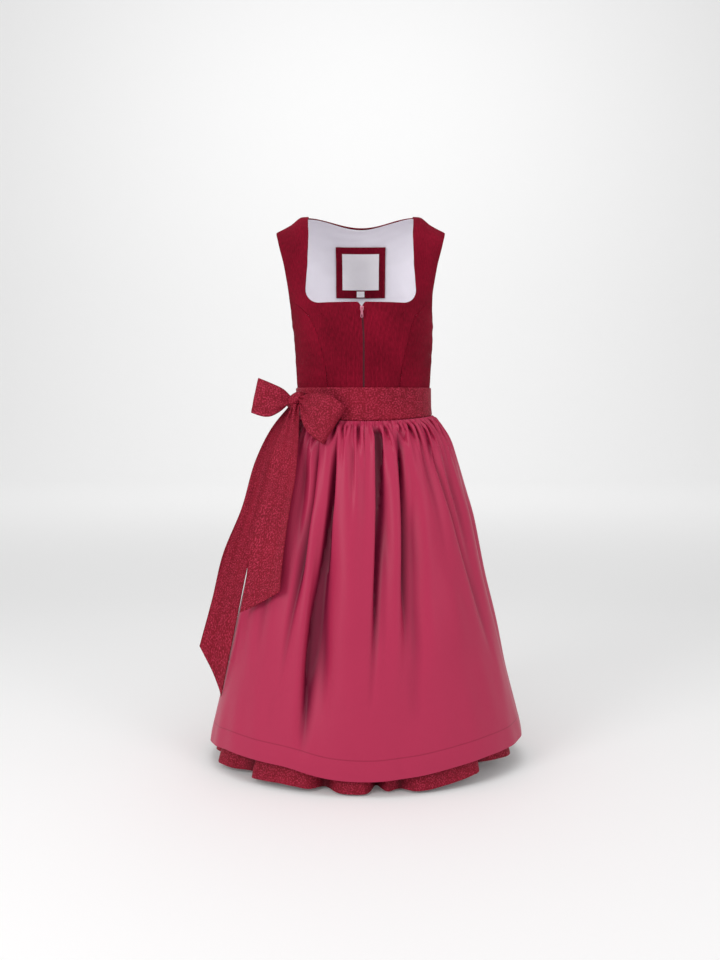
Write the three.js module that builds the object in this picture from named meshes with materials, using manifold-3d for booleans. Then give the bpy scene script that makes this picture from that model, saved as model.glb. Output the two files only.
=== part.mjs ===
// A sleeveless dirndl, filled out as it is when worn: a seamed bodice with a square neck and a front zip,
// a gathered skirt, and a gathered apron whose waistband runs on as a tie, knotted in a bow at the wearer's
// right side. Millimetres, +Z up, the front faces -Y. The origin is midway between the shoulder seams, at the
// height of the neck points.
import * as THREE from "three";
import { mergeVertices } from "three/addons/utils/BufferGeometryUtils.js";
import Module from "manifold-3d";

// Cloth
const BODICE_CLOTH = 1.5;
const LINING_CLOTH = 1.0;
const SKIRT_CLOTH = 1.2;
const APRON_CLOTH = 1.2;
const RIBBON_CLOTH = 1.4;
const SEAM_GAP = 0.4;
const LINING_GAP = 1.3;

// Heights, down from the neck points
const ARMPIT = -199;
const NECKLINE = -181;
const BAND_TOP = -346;
const WAIST_SEAM = -385;
const BAND_FRONT = -412;
const BAND_SIDE = -403;
const APRON_STITCH = -1057;
const APRON_HEM = -1097;
const SKIRT_HEM = -1116;

// Neck, shoulder and zip
const NECK_HALF = 106;
const BACK_NECK_DIP = 0.32;
const SHOULDER_CAP = 100;
const CORNER_RADIUS = 27;
const NECK_CORNER = 110;
const ZIP_HALF = 3.2;
const NOTCH = 7;
const CAP_TOP = SHOULDER_CAP * (Math.PI / 2 - 1);

// The worn form: half width, and depth to the front and to the back, at each height.
const torso = [
  { z: 0, half: 188, front: 108, back: 100 },
  { z: -28, half: 183, front: 108, back: 100 },
  { z: -77, half: 172.5, front: 109, back: 102 },
  { z: -125, half: 160, front: 113, back: 104 },
  { z: -150, half: 154.5, front: 118, back: 104 },
  { z: -175, half: 149.5, front: 124, back: 104 },
  { z: -199, half: 145, front: 128, back: 103 },
  { z: -225, half: 143.5, front: 130, back: 101 },
  { z: -250, half: 142, front: 129, back: 99 },
  { z: -275, half: 140.5, front: 124, back: 96 },
  { z: -300, half: 139, front: 117, back: 93 },
  { z: -325, half: 137.5, front: 109, back: 91 },
  { z: -350, half: 136.5, front: 104, back: 90 },
  { z: -385, half: 137, front: 102, back: 91 },
  { z: -414, half: 140, front: 104, back: 94 },
];

// The outer ring of the skirt and apron.
const flare = [
  { z: -385, half: 137, front: 102, back: 91 },
  { z: -400, half: 140, front: 103, back: 94 },
  { z: -412, half: 149, front: 109, back: 103 },
  { z: -425, half: 161, front: 121, back: 115 },
  { z: -440, half: 171, front: 131, back: 127 },
  { z: -460, half: 182, front: 141, back: 139 },
  { z: -485, half: 191, front: 149, back: 149 },
  { z: -510, half: 199, front: 156, back: 157 },
  { z: -560, half: 214, front: 168, back: 170 },
  { z: -610, half: 228, front: 178, back: 181 },
  { z: -660, half: 239, front: 187, back: 190 },
  { z: -740, half: 256, front: 201, back: 204 },
  { z: -840, half: 278, front: 217, back: 220 },
  { z: -940, half: 299, front: 231, back: 234 },
  { z: -1000, half: 312, front: 238, back: 242 },
  { z: -1057, half: 325, front: 244, back: 249 },
  { z: -1097, half: 334, front: 248, back: 254 },
  { z: -1116, half: 337, front: 250, back: 256 },
];

// How far round from the centre front the armhole's edge lies, in degrees.
const armhole = [
  { z: 0, turn: 66 },
  { z: -28, turn: 66 },
  { z: -77, turn: 65.5 },
  { z: -125, turn: 69 },
  { z: -150, turn: 71 },
  { z: -175, turn: 75 },
  { z: -190, turn: 80 },
  { z: -196, turn: 85 },
  { z: ARMPIT, turn: 90 },
];

// The curved seams from armhole to waist, in degrees from the centre front or the centre back.
const frontSeam = [
  { z: -163, turn: 73 },
  { z: -171, turn: 68 },
  { z: -181, turn: 60.5 },
  { z: -190, turn: 55 },
  { z: -199, turn: 50.5 },
  { z: -210, turn: 46 },
  { z: -234, turn: 41 },
  { z: -263, turn: 37.5 },
  { z: -293, turn: 34.3 },
  { z: -322, turn: 32.5 },
  { z: -385, turn: 31.2 },
];
const backSeam = [
  { z: -95, turn: 66.5 },
  { z: -112, turn: 58 },
  { z: -130, turn: 50 },
  { z: -154, turn: 42 },
  { z: -181, turn: 35.5 },
  { z: -225, turn: 28 },
  { z: -300, turn: 21 },
  { z: -385, turn: 17 },
];

// Half width of the neck opening at the front, measured up its sides.
const neckSide = [
  { z: 0, x: 106 },
  { z: -50, x: 103.5 },
  { z: -100, x: 105.5 },
  { z: -154, x: 110 },
  { z: -181, x: 110 },
];

// Fall of the shoulder from the neck point to its tip.
const shoulder = [
  { x: 118, z: 0 },
  { x: 143, z: -16 },
  { x: 168, z: -29 },
  { x: 200, z: -40 },
];

// The apron's larger folds: the turn where each leaves the band and meets the hem, how deep and wide it is,
// and the heights where it begins, is deepest and ends. A negative depth stands out as a rounded ridge.
const apronFolds = [
  { waist: -98, hem: -84, depth: 11, width: 6, from: -430, deepest: -620, to: -1090 },
  { waist: -76, hem: -62, depth: 9, width: 5, from: -430, deepest: -600, to: -1000 },
  { waist: -58, hem: -46, depth: 12, width: 5, from: -430, deepest: -560, to: -980 },
  { waist: -41, hem: -27, depth: 14, width: 4.5, from: -425, deepest: -540, to: -900 },
  { waist: -20.6, hem: -14, depth: 25, width: 5, from: -422, deepest: -840, to: -1092 },
  { waist: -11, hem: -5, depth: -5, width: 7, from: -430, deepest: -700, to: -1090 },
  { waist: 1, hem: -1, depth: 6, width: 4, from: -425, deepest: -520, to: -760 },
  { waist: 10.6, hem: 5, depth: 15, width: 3.5, from: -422, deepest: -560, to: -960 },
  { waist: 29, hem: 15, depth: 17, width: 4.5, from: -422, deepest: -640, to: -1090 },
  { waist: 40, hem: 42, depth: 8, width: 4, from: -425, deepest: -500, to: -800 },
  { waist: 46, hem: 30, depth: -5, width: 8, from: -450, deepest: -800, to: -1090 },
  { waist: 58, hem: 66, depth: 10, width: 5, from: -430, deepest: -560, to: -1000 },
  { waist: 78, hem: 84, depth: 11, width: 6, from: -430, deepest: -680, to: -1090 },
  { waist: 98, hem: 98, depth: 10, width: 5, from: -430, deepest: -600, to: -1060 },
];

// The valleys between the flutes at the skirt's hem, each with its reach towards -X and +X across the front.
const skirtFlutes = [
  { turn: -78, depth: 22, before: 7, after: 5 },
  { turn: -49, depth: 32, before: 10, after: 3 },
  { turn: -16, depth: 30, before: 3, after: 5 },
  { turn: 4, depth: 46, before: 2.5, after: 2.2 },
  { turn: 12.5, depth: 24, before: 5, after: 3 },
  { turn: 48, depth: 32, before: 3, after: 10 },
  { turn: 74, depth: 24, before: 5, after: 7 },
  { turn: 96, depth: 26, before: 7, after: 5 },
  { turn: 117, depth: 32, before: 5, after: 8 },
  { turn: 137, depth: 34, before: 7, after: 5 },
  { turn: 156, depth: 28, before: 8, after: 4 },
  { turn: 176, depth: 36, before: 5, after: 8 },
  { turn: 199, depth: 32, before: 8, after: 5 },
  { turn: 221, depth: 34, before: 5, after: 8 },
  { turn: 243, depth: 28, before: 7, after: 5 },
  { turn: 263, depth: 28, before: 6, after: 6 },
];
const frontTurns = [
  -90, -85, -81, -78, -75, -70, -64, -57, -52, -49, -46.5, -44, -38, -31, -25, -20, -18, -16, -13, -9, -4, 0,
  2, 4, 6, 8.5, 12, 15, 18, 24, 31, 38, 42, 45, 48, 52, 57, 62, 68, 74, 79, 84, 90,
];

// Neither hem is level: how far each is drawn up, round the dress.
const apronHemLift = [
  { turn: -108, lift: 16 },
  { turn: -90, lift: 14 },
  { turn: -72, lift: 22 },
  { turn: -54, lift: 30 },
  { turn: -31, lift: 28 },
  { turn: -12, lift: 11 },
  { turn: 0, lift: 8 },
  { turn: 17, lift: 15 },
  { turn: 35, lift: 26 },
  { turn: 50, lift: 31 },
  { turn: 108, lift: 30 },
];
const skirtHemLift = [
  { turn: -180, lift: 0 },
  { turn: -90, lift: 9 },
  { turn: -50, lift: 6 },
  { turn: -31, lift: 9 },
  { turn: -10, lift: 0 },
  { turn: 17, lift: 2 },
  { turn: 35, lift: 13 },
  { turn: 50, lift: 24 },
  { turn: 75, lift: 29 },
  { turn: 100, lift: 26 },
  { turn: 180, lift: 0 },
];

// How strong the small gathers below the band are, and how far the skirt hangs inside the apron.
const gathers = [
  { z: -398, size: 0 },
  { z: -403, size: 0.5 },
  { z: -412, size: 2.2 },
  { z: -426, size: 3.4 },
  { z: -440, size: 3.0 },
  { z: -465, size: 1.6 },
  { z: -500, size: 0.7 },
  { z: -560, size: 0.2 },
  { z: -620, size: 0 },
];
const skirtInset = [
  { z: -385, covered: 0, open: 0 },
  { z: -400, covered: 3.5, open: 3.5 },
  { z: -412, covered: 9, open: 6.5 },
  { z: -426, covered: 13, open: 7 },
  { z: -460, covered: 20, open: 8 },
  { z: -560, covered: 30, open: 10 },
  { z: -700, covered: 33, open: 11 },
  { z: -850, covered: 34, open: 11 },
  { z: -960, covered: 31, open: 9 },
  { z: -1030, covered: 22, open: 6 },
  { z: -1097, covered: 10, open: 4 },
  { z: -1116, covered: 8, open: 3 },
];
const GATHER_STEP = 3;
const SKIRT_FLUTE_TOP = -470;
const COVERED_TO = 100;
const COVERED_RUN = 16;
const SWAY = 5;
const SWAY_TOP = -425;
const SWAY_RUN = 150;
const LEAN = 6;
const LEAN_TOP = -145;
const LEAN_RUN = 120;
const APRON_REACH = 108;

const radians = (degrees) => (degrees * Math.PI) / 180;
const degrees = (angle) => (angle * 180) / Math.PI;
const clamp = (value, low, high) => Math.min(high, Math.max(low, value));
const eased = (t) => t * t * (3 - 2 * t);

// A smooth curve through one column of a table, held level past its ends.
function curve(table, along, column) {
  const rows = [...table].sort((a, b) => a[along] - b[along]);
  const at = rows.map((row) => row[along]);
  const value = rows.map((row) => row[column]);
  const slope = at.map((_, i) => {
    if (i === 0 || i === at.length - 1) return 0;
    const before = (value[i] - value[i - 1]) / (at[i] - at[i - 1]);
    const after = (value[i + 1] - value[i]) / (at[i + 1] - at[i]);
    return before * after <= 0 ? 0 : (2 * before * after) / (before + after);
  });
  return (x) => {
    if (x <= at[0]) return value[0];
    if (x >= at[at.length - 1]) return value[at.length - 1];
    let i = 0;
    while (x > at[i + 1]) i += 1;
    const span = at[i + 1] - at[i];
    const t = (x - at[i]) / span;
    const rise = value[i + 1] - value[i];
    return (
      value[i] +
      t * t * (3 - 2 * t) * rise +
      span * t * (1 - t) * ((1 - t) * slope[i] - t * slope[i + 1])
    );
  };
}

const torsoHalf = curve(torso, "z", "half");
const torsoFront = curve(torso, "z", "front");
const torsoBack = curve(torso, "z", "back");
const flareHalf = curve(flare, "z", "half");
const flareFront = curve(flare, "z", "front");
const flareBack = curve(flare, "z", "back");
const armholeTurn = curve(armhole, "z", "turn");
const frontSeamTurn = curve(frontSeam, "z", "turn");
const backSeamTurn = curve(backSeam, "z", "turn");
const neckSideX = curve(neckSide, "z", "x");
const shoulderFall = curve(shoulder, "x", "z");
const gatherSize = curve(gathers, "z", "size");
const coveredInset = curve(skirtInset, "z", "covered");
const openInset = curve(skirtInset, "z", "open");
const apronLift = curve(apronHemLift, "turn", "lift");
const skirtLift = curve(skirtHemLift, "turn", "lift");

// How far the dress hangs to +X of its shoulders at a height.
const leanAt = (z) => LEAN * eased(clamp((LEAN_TOP - z) / LEAN_RUN, 0, 1));

// The bodice's outer face. turn is 0 at the centre front and 180 at the centre back. rise is the height, and
// runs on past the neck points over the rounded cap of the shoulder, up to CAP_TOP at the shoulder seam.
const levelOf = (rise) =>
  rise < -SHOULDER_CAP ? rise : SHOULDER_CAP * (Math.sin((rise + SHOULDER_CAP) / SHOULDER_CAP) - 1);

// The share of the shoulder's cap that the cloth reaches: all of it on the straps, less behind the neck.
const capReach = (x) => 1 - BACK_NECK_DIP * Math.max(0, 1 - (x / NECK_HALF) ** 2) ** 1.5;

function torsoPoint(turn, rise) {
  const level = levelOf(rise);
  const x = torsoHalf(level) * Math.sin(radians(turn));
  let height = rise;
  let lean = 1;
  if (rise > -SHOULDER_CAP) {
    const bend = (capReach(x) * (rise + SHOULDER_CAP)) / SHOULDER_CAP;
    height = SHOULDER_CAP * (Math.sin(bend) - 1);
    lean = Math.cos(bend);
  }
  const depth = Math.cos(radians(turn)) > 0 ? torsoFront(height) : torsoBack(height);
  const share = clamp((height - ARMPIT) / -ARMPIT, 0, 1);
  return new THREE.Vector3(
    x + leanAt(height),
    -depth * lean * Math.cos(radians(turn)),
    height + shoulderFall(Math.abs(x)) * share,
  );
}

// A ring of the flared skirt, moved out or in by an amount that its folds give. It hangs a little towards +X.
function flarePoint(turn, z, out) {
  const c = Math.cos(radians(turn));
  const depth = c > 0 ? flareFront(z) : flareBack(z);
  const sway = SWAY * clamp((SWAY_TOP - z) / SWAY_RUN, 0, 1);
  return new THREE.Vector3(
    LEAN + sway + (flareHalf(z) - sway + out) * Math.sin(radians(turn)),
    -(depth + out) * c,
    z,
  );
}

const hump = (distance, width) => Math.exp(-((distance / width) ** 2));
const gatherWave = (turn, z) => gatherSize(z) * Math.cos((Math.PI * turn) / GATHER_STEP);

function foldStrength(fold, z) {
  const rising = clamp((fold.from - z) / (fold.from - fold.deepest), 0, 1);
  const falling = clamp((z - fold.to) / (fold.deepest - fold.to), 0, 1);
  return eased(Math.min(rising, falling));
}

// From one turn to another, the short way round.
const signedBetween = (a, b) => ((((a - b + 180) % 360) + 360) % 360) - 180;
const between = (a, b) => Math.abs(signedBetween(a, b));
function bandEdge(turn) {
  const aside = clamp(between(turn, 0), 0, 90);
  return BAND_FRONT + (BAND_SIDE - BAND_FRONT) * Math.sin(radians(aside)) ** 2;
}

function apronPoint(turn, z) {
  let out = gatherWave(turn, z);
  const down = clamp((BAND_FRONT - z) / (BAND_FRONT - APRON_HEM), 0, 1);
  for (const fold of apronFolds) {
    const centre = fold.waist + (fold.hem - fold.waist) * down;
    out -= fold.depth * foldStrength(fold, z) * hump(turn - centre, fold.width);
  }
  const point = flarePoint(turn, z, out);
  point.z += apronLift(turn) * down;
  return point;
}

function skirtPoint(turn, z) {
  const covered = 1 - eased(clamp((between(turn, 0) - COVERED_TO) / COVERED_RUN, 0, 1));
  const down = clamp((SKIRT_FLUTE_TOP - z) / (SKIRT_FLUTE_TOP - SKIRT_HEM), 0, 1);
  const flute = down ** 1.4;
  let out = gatherWave(turn, z) * (1 - covered);
  out -= coveredInset(z) * covered + openInset(z) * (1 - covered);
  for (const valley of skirtFlutes) {
    const past = signedBetween(turn, valley.turn);
    out -= valley.depth * flute * hump(past, past < 0 ? valley.before : valley.after);
  }
  const point = flarePoint(turn, z, out);
  point.z += skirtLift(signedBetween(turn, 0)) * down;
  return point;
}

// A cloth wall: a sheet of triangles on a surface, its copy a thickness further in, and a rim round its open
// edges. place(i, j) gives the coordinates of a grid point, and keep(i, j) says which cells are cloth.
function clothWall({ across, up, place, surface, lift = 0, thick, keep = () => true }) {
  const outer = [];
  const inner = [];
  const STEP = 0.05;
  for (let j = 0; j < up; j += 1) {
    for (let i = 0; i < across; i += 1) {
      const [u, v] = place(i, j);
      const point = surface(u, v);
      const alongU = surface(u + STEP, v).sub(surface(u - STEP, v));
      const alongV = surface(u, v + STEP).sub(surface(u, v - STEP));
      const normal = alongU.cross(alongV).normalize();
      outer.push(point.clone().addScaledVector(normal, lift));
      inner.push(point.clone().addScaledVector(normal, lift - thick));
    }
  }
  const faces = [];
  for (let j = 0; j + 1 < up; j += 1) {
    for (let i = 0; i + 1 < across; i += 1) {
      if (!keep(i, j)) continue;
      const a = j * across + i;
      faces.push([a, a + 1, a + across + 1], [a, a + across + 1, a + across]);
    }
  }
  return closedWall(outer, inner, faces);
}

function closedWall(outer, inner, faces) {
  const count = outer.length;
  const edges = new Map();
  const triangles = [];
  for (const [a, b, c] of faces) {
    triangles.push(a, b, c, a + count, c + count, b + count);
    for (const [p, q] of [[a, b], [b, c], [c, a]]) edges.set(`${p} ${q}`, [p, q]);
  }
  for (const [p, q] of edges.values()) {
    if (edges.has(`${q} ${p}`)) continue;
    triangles.push(q, p, p + count, q, p + count, q + count);
  }
  const used = [...new Set(triangles)].sort((p, q) => p - q);
  const fresh = new Map(used.map((old, index) => [old, index]));
  const points = [...outer, ...inner];
  const geometry = new THREE.BufferGeometry();
  geometry.setAttribute(
    "position",
    new THREE.Float32BufferAttribute(used.flatMap((index) => points[index].toArray()), 3),
  );
  geometry.setIndex(triangles.map((index) => fresh.get(index)));
  return geometry;
}

const steps = (low, high, count) =>
  Array.from({ length: count + 1 }, (_, i) => low + ((high - low) * i) / count);

// Solids for the joins and cuts.
const kernel = await Module();
kernel.setup();
function toSolid(geometry) {
  const bare = new THREE.BufferGeometry();
  bare.setAttribute("position", geometry.getAttribute("position").clone());
  bare.setIndex(geometry.index.clone());
  const merged = mergeVertices(bare, 1e-3);
  return new kernel.Manifold(
    new kernel.Mesh({
      numProp: 3,
      vertProperties: merged.getAttribute("position").array,
      triVerts: new Uint32Array(merged.index.array),
    }),
  );
}
function toGeometry(solid) {
  const mesh = solid.getMesh();
  const geometry = new THREE.BufferGeometry();
  geometry.setAttribute("position", new THREE.Float32BufferAttribute(mesh.vertProperties, 3));
  geometry.setIndex([...mesh.triVerts]);
  return geometry;
}

const corduroy = new THREE.MeshStandardMaterial({ color: 0x7b1427, roughness: 0.85 });
const liningCloth = new THREE.MeshStandardMaterial({ color: 0xe0dae6, roughness: 0.75 });
const jacquard = new THREE.MeshStandardMaterial({ color: 0x8c1d30, roughness: 0.55 });
const apronSatin = new THREE.MeshStandardMaterial({ color: 0xb03a58, roughness: 0.4 });
const labelCloth = new THREE.MeshStandardMaterial({ color: 0xe9e4e6, roughness: 0.7 });
const zipTape = new THREE.MeshStandardMaterial({ color: 0x5c1a2c, roughness: 0.7 });
const roseMetal = new THREE.MeshStandardMaterial({ color: 0xc77088, roughness: 0.3, metalness: 0.6 });

const dirndl = new THREE.Group();
function add(name, geometry, material, parent = dirndl) {
  const mesh = new THREE.Mesh(geometry, material);
  mesh.name = name;
  parent.add(mesh);
  return mesh;
}

// Bodice rows, from the waist seam to the shoulder seam. The front's include the corner of the neck. The side
// panels end in a point on the armhole, a row below it.
const FRONT_SEAM_ROW = -165;
const BACK_SEAM_ROW = -99.5;
const bodyRows = [
  WAIST_SEAM, -353, -325, -300, -275, -250, -225, -210, ARMPIT, -190, NECKLINE, -171,
  FRONT_SEAM_ROW,
];
const capRows = [-112, BACK_SEAM_ROW, -65, -35, -5, 27];
const frontRows = [...bodyRows, -154, -132, ...capRows, CAP_TOP];
const backRows = [...bodyRows, -154, -130, ...capRows, CAP_TOP];
const fewer = (rows) => rows.filter((rise) => ![-275, -225, -210, -190, -132].includes(rise));
const seamTurn = (gap, rise) => degrees(gap / torsoHalf(levelOf(rise)));

// The front beside the zip, with its strap: zip to neck corner, then on to the seam or the armhole.
const zipToCorner = [0, 0.08, 0.3, 0.53, 0.76, 0.92, 1];
const cornerToEdge = steps(0, 1, 4).slice(1);
const WAIST_SHARE = 0.62;
const cornerColumn = zipToCorner.length - 1;
const frontColumns = cornerColumn + 1 + cornerToEdge.length;

function frontEdgeTurn(rise) {
  const level = levelOf(rise);
  const meets = frontSeam[0].z;
  return level < meets ? frontSeamTurn(level) : armholeTurn(level);
}

// Grid points on the rounded corner of the neck: columns and rows from the corner, and degrees round its arc.
const cornerArc = [
  { column: -2, row: 0, arc: 0 },
  { column: -1, row: 0, arc: 28 },
  { column: 0, row: 0, arc: 48 },
  { column: 0, row: 1, arc: 64 },
  { column: 0, row: 2, arc: 78 },
];

const frontCut = {
  rows: frontRows,
  inset: 0,
  seam: SEAM_GAP / 2,
  edge: frontEdgeTurn,
  zip: ZIP_HALF,
};
function frontPlace(i, j, { rows, inset, seam, edge, zip }) {
  const neckRow = rows.indexOf(NECKLINE);
  const rise = rows[j];
  const half = torsoHalf(levelOf(rise));
  const xTurn = (x) => degrees(Math.asin(x / half));
  const rounded = cornerArc.find((at) => at.column === i - cornerColumn && at.row === j - neckRow);
  if (rounded) {
    const radius = CORNER_RADIUS + inset;
    const x = NECK_CORNER - CORNER_RADIUS + radius * Math.sin(radians(rounded.arc));
    const z = NECKLINE + CORNER_RADIUS - radius * Math.cos(radians(rounded.arc));
    return [degrees(Math.asin(x / torsoHalf(z))), z];
  }
  const corner = Math.min(neckSideX(levelOf(rise)), NECK_CORNER) + inset;
  const outer = edge(rise) - seamTurn(seam, rise);
  const share = (rise - WAIST_SEAM) / (NECKLINE - WAIST_SEAM);
  const cornerX = (NECK_CORNER + inset) / torsoHalf(NECKLINE);
  const cornerShare = degrees(Math.asin(cornerX)) / edge(NECKLINE);
  const belowCorner = outer * (WAIST_SHARE + (cornerShare - WAIST_SHARE) * share);
  const cornerTurn = j < neckRow ? belowCorner : xTurn(corner);
  let height = rise;
  if (j === neckRow) height -= inset;
  if (i <= cornerColumn) {
    const zipTurn = xTurn(zip);
    if (i === 0 && j === neckRow) height -= NOTCH;
    return [zipTurn + (cornerTurn - zipTurn) * zipToCorner[i], height];
  }
  return [cornerTurn + (outer - cornerTurn) * cornerToEdge[i - cornerColumn - 1], height];
}

const keepFront = (rows) => (i, j) => j < rows.indexOf(NECKLINE) || i >= cornerColumn;

// A piece and its mirror image across the centre front.
function pair(name, material, build) {
  for (const [side, sign] of [["right", 1], ["left", -1]]) {
    add(`${name}_${side}`, build(sign), material);
  }
}

// Turns a place function for the +X side into the same piece on either side, with its faces still outwards.
function mirrored(sign, across, place) {
  return (i, j) => {
    const [turn, rise] = place(sign > 0 ? i : across - 1 - i, j);
    return [sign * turn, rise];
  };
}
const mirroredKeep = (sign, across, keep) => (i, j) => keep(sign > 0 ? i : across - 2 - i, j);

pair("bodice_front", corduroy, (sign) =>
  clothWall({
    across: frontColumns,
    up: frontRows.length,
    place: mirrored(sign, frontColumns, (i, j) => frontPlace(i, j, frontCut)),
    keep: mirroredKeep(sign, frontColumns, keepFront(frontRows)),
    surface: torsoPoint,
    thick: BODICE_CLOTH,
  }),
);

// Side panels: from a curved seam to the side seam, and above that to the armhole.
function sidePanel(sign, rows, seamAt, columns, behind) {
  const along = steps(0, 1, columns);
  const place = (i, j) => {
    const rise = rows[j];
    const gap = seamTurn(SEAM_GAP / 2, rise);
    const from = seamAt(levelOf(rise)) + gap;
    const to = armholeTurn(levelOf(rise)) - gap;
    const turn = from + (to - from) * along[behind ? columns - i : i];
    return [behind ? 180 - turn : turn, rise];
  };
  return clothWall({
    across: along.length,
    up: rows.length,
    place: mirrored(sign, along.length, place),
    surface: torsoPoint,
    thick: BODICE_CLOTH,
  });
}
const frontSideRows = frontRows.slice(0, frontRows.indexOf(FRONT_SEAM_ROW) + 1);
const backSideRows = backRows.slice(0, backRows.indexOf(BACK_SEAM_ROW) + 1);
pair("bodice_side_front", corduroy, (sign) => sidePanel(sign, frontSideRows, frontSeamTurn, 6, false));
pair("bodice_side_back", corduroy, (sign) => sidePanel(sign, backSideRows, backSeamTurn, 6, true));

// The back: one panel between the two curved seams, with both straps. Its columns are shares of the way from
// the centre to the edge, with one on each neck point.
const NECK_SHARE = degrees(Math.asin(NECK_HALF / torsoHalf(0))) / armholeTurn(0);
const backShares = [1, 0.84, 0.67, NECK_SHARE, 0.43, 0.34, 0.17];
const backAcross = [...backShares.map((share) => -share), 0, ...backShares.reverse()];
function backEdgeTurn(rise) {
  const level = levelOf(rise);
  return level < backSeam[0].z ? backSeamTurn(level) : armholeTurn(level);
}
const SHOULDER_SEAM_GAP = 0.15;
function backPlace(i, j, rows = backRows, edge = backEdgeTurn, rim = SEAM_GAP / 2) {
  return [180 + (edge(rows[j]) - seamTurn(rim, rows[j])) * backAcross[i], rows[j]];
}
const shiftBack = (surface, amount) => (turn, rise) => {
  const point = surface(turn, rise);
  point.y += amount;
  return point;
};
add(
  "bodice_back",
  clothWall({
    across: backAcross.length,
    up: backRows.length,
    place: (i, j) => backPlace(i, j),
    surface: shiftBack(torsoPoint, SHOULDER_SEAM_GAP * 2),
    thick: BODICE_CLOTH,
  }),
  corduroy,
);

// Lining: the same form, further in, ending short of each edge.
const LINING_SHORT = 3;
const LINING_LIFT = -(BODICE_CLOTH + LINING_GAP);
const LINING_MEETS = 0.15;
const ZIP_TO_LINING = 6;
const NECK_EASE = 30;
const NECK_SHORTER = 1.6;

// Below the armpit the two linings run on to meet at the side.
function liningEdge(rise) {
  const reach = rise < ARMPIT + 1 ? degrees(LINING_SHORT / torsoHalf(rise)) - LINING_MEETS : 0;
  return armholeTurn(levelOf(rise)) + reach;
}
const frontLiningRows = fewer(frontRows);
const backLiningRows = fewer(backRows);
const frontLiningCut = {
  rows: frontLiningRows,
  inset: LINING_SHORT,
  seam: LINING_SHORT,
  edge: liningEdge,
  zip: ZIP_HALF + ZIP_TO_LINING,
};
pair("lining_front", liningCloth, (sign) =>
  clothWall({
    across: frontColumns,
    up: frontLiningRows.length,
    place: mirrored(sign, frontColumns, (i, j) => frontPlace(i, j, frontLiningCut)),
    keep: mirroredKeep(sign, frontColumns, keepFront(frontLiningRows)),
    surface: torsoPoint,
    lift: LINING_LIFT,
    thick: LINING_CLOTH,
  }),
);
add(
  "lining_back",
  clothWall({
    across: backAcross.length,
    up: backLiningRows.length,
    place: (i, j) => backPlace(i, j, backLiningRows, liningEdge, LINING_SHORT),
    surface: (turn, rise) => {
      const across = torsoHalf(levelOf(rise)) * Math.sin(radians(turn));
      const nearNeck = clamp((NECK_HALF - Math.abs(across)) / NECK_EASE, 0, 1);
      const shorter = (nearNeck * LINING_SHORT * NECK_SHORTER * Math.max(0, rise)) / CAP_TOP;
      const point = torsoPoint(turn, rise - shorter);
      point.y += SHOULDER_SEAM_GAP * 2;
      return point;
    },
    lift: LINING_LIFT,
    thick: LINING_CLOTH,
  }),
  liningCloth,
);

// The cord square on the lining's back, and the bare label and the size tab on it, given by x and height.
const PATCH_CLOTH = 1.2;
const LABEL_CLOTH = 0.8;
const LABEL_GAP = 0.5;
const PATCH = {
  columns: [-53.5, -40, -20, 0, 20, 40, 53.5],
  heights: [-153, -130, -107, -85, -64, -45],
};
const LABEL = { columns: [-40, -20, 0, 20, 40], heights: [-136, -107, -85, -64, -58] };
const SIZE_TAB = { columns: [-8.5, 0, 8.5], heights: [-151, -138.5] };
const patchLift = LINING_LIFT - LINING_CLOTH - LINING_GAP;
const labelLift = patchLift - PATCH_CLOTH - LABEL_GAP;
function backPoint(minusX, height) {
  const bend = Math.asin(clamp(1 + height / SHOULDER_CAP, 0, 1));
  const rise = height < -SHOULDER_CAP ? height : (SHOULDER_CAP * bend) / capReach(minusX) - SHOULDER_CAP;
  return torsoPoint(180 + degrees(Math.asin(minusX / torsoHalf(levelOf(rise)))), rise);
}
function badge({ columns, heights }, lift, thick) {
  return clothWall({
    across: columns.length,
    up: heights.length,
    place: (i, j) => [columns[i], heights[j]],
    surface: backPoint,
    lift,
    thick,
  });
}
add("label_square", badge(PATCH, patchLift, PATCH_CLOTH), corduroy);
add("label", badge(LABEL, labelLift, LABEL_CLOTH), labelCloth);
add("size_tab", badge(SIZE_TAB, labelLift, LABEL_CLOTH), labelCloth);

// Skirt: gathered to the waist seam, in a front and a back joined at the side seams.
const skirtRows = [SKIRT_HEM, -1085, -980, -840, -680, -540, -470, -436, -412, -399];
const skirtTop = WAIST_SEAM - SEAM_GAP;
const SIDE_GAP = 0.12;
function skirtPanel(columns, rows) {
  const last = columns.length - 1;
  const turns = [columns[0] + SIDE_GAP, ...columns.slice(1, last), columns[last] - SIDE_GAP];
  const heights = [...rows, skirtTop];
  return clothWall({
    across: turns.length,
    up: heights.length,
    place: (i, j) => [turns[i], heights[j]],
    surface: skirtPoint,
    thick: SKIRT_CLOTH,
  });
}
const hiddenRows = [SKIRT_HEM, -1085, -980, -840, -600, -460, -399];
add("skirt_front", skirtPanel(frontTurns, hiddenRows), jacquard);
add("skirt_back", skirtPanel(steps(90, 270, 180 / GATHER_STEP), skirtRows), jacquard);

// Apron: gathered under the band, open at the back, with a stitched hem.
const apronRows = [APRON_HEM, APRON_STITCH, -950, -830, -710, -600, -520, -465, -436, -420];
const apronTurns = steps(-APRON_REACH, APRON_REACH, (2 * APRON_REACH) / GATHER_STEP);
const apronPlace = (i, j) => {
  const top = bandEdge(apronTurns[i]) - SEAM_GAP;
  return [apronTurns[i], j < apronRows.length ? apronRows[j] : top];
};
add(
  "apron",
  clothWall({
    across: apronTurns.length,
    up: apronRows.length + 1,
    place: apronPlace,
    surface: apronPoint,
    thick: APRON_CLOTH,
  }),
  apronSatin,
);

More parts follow.
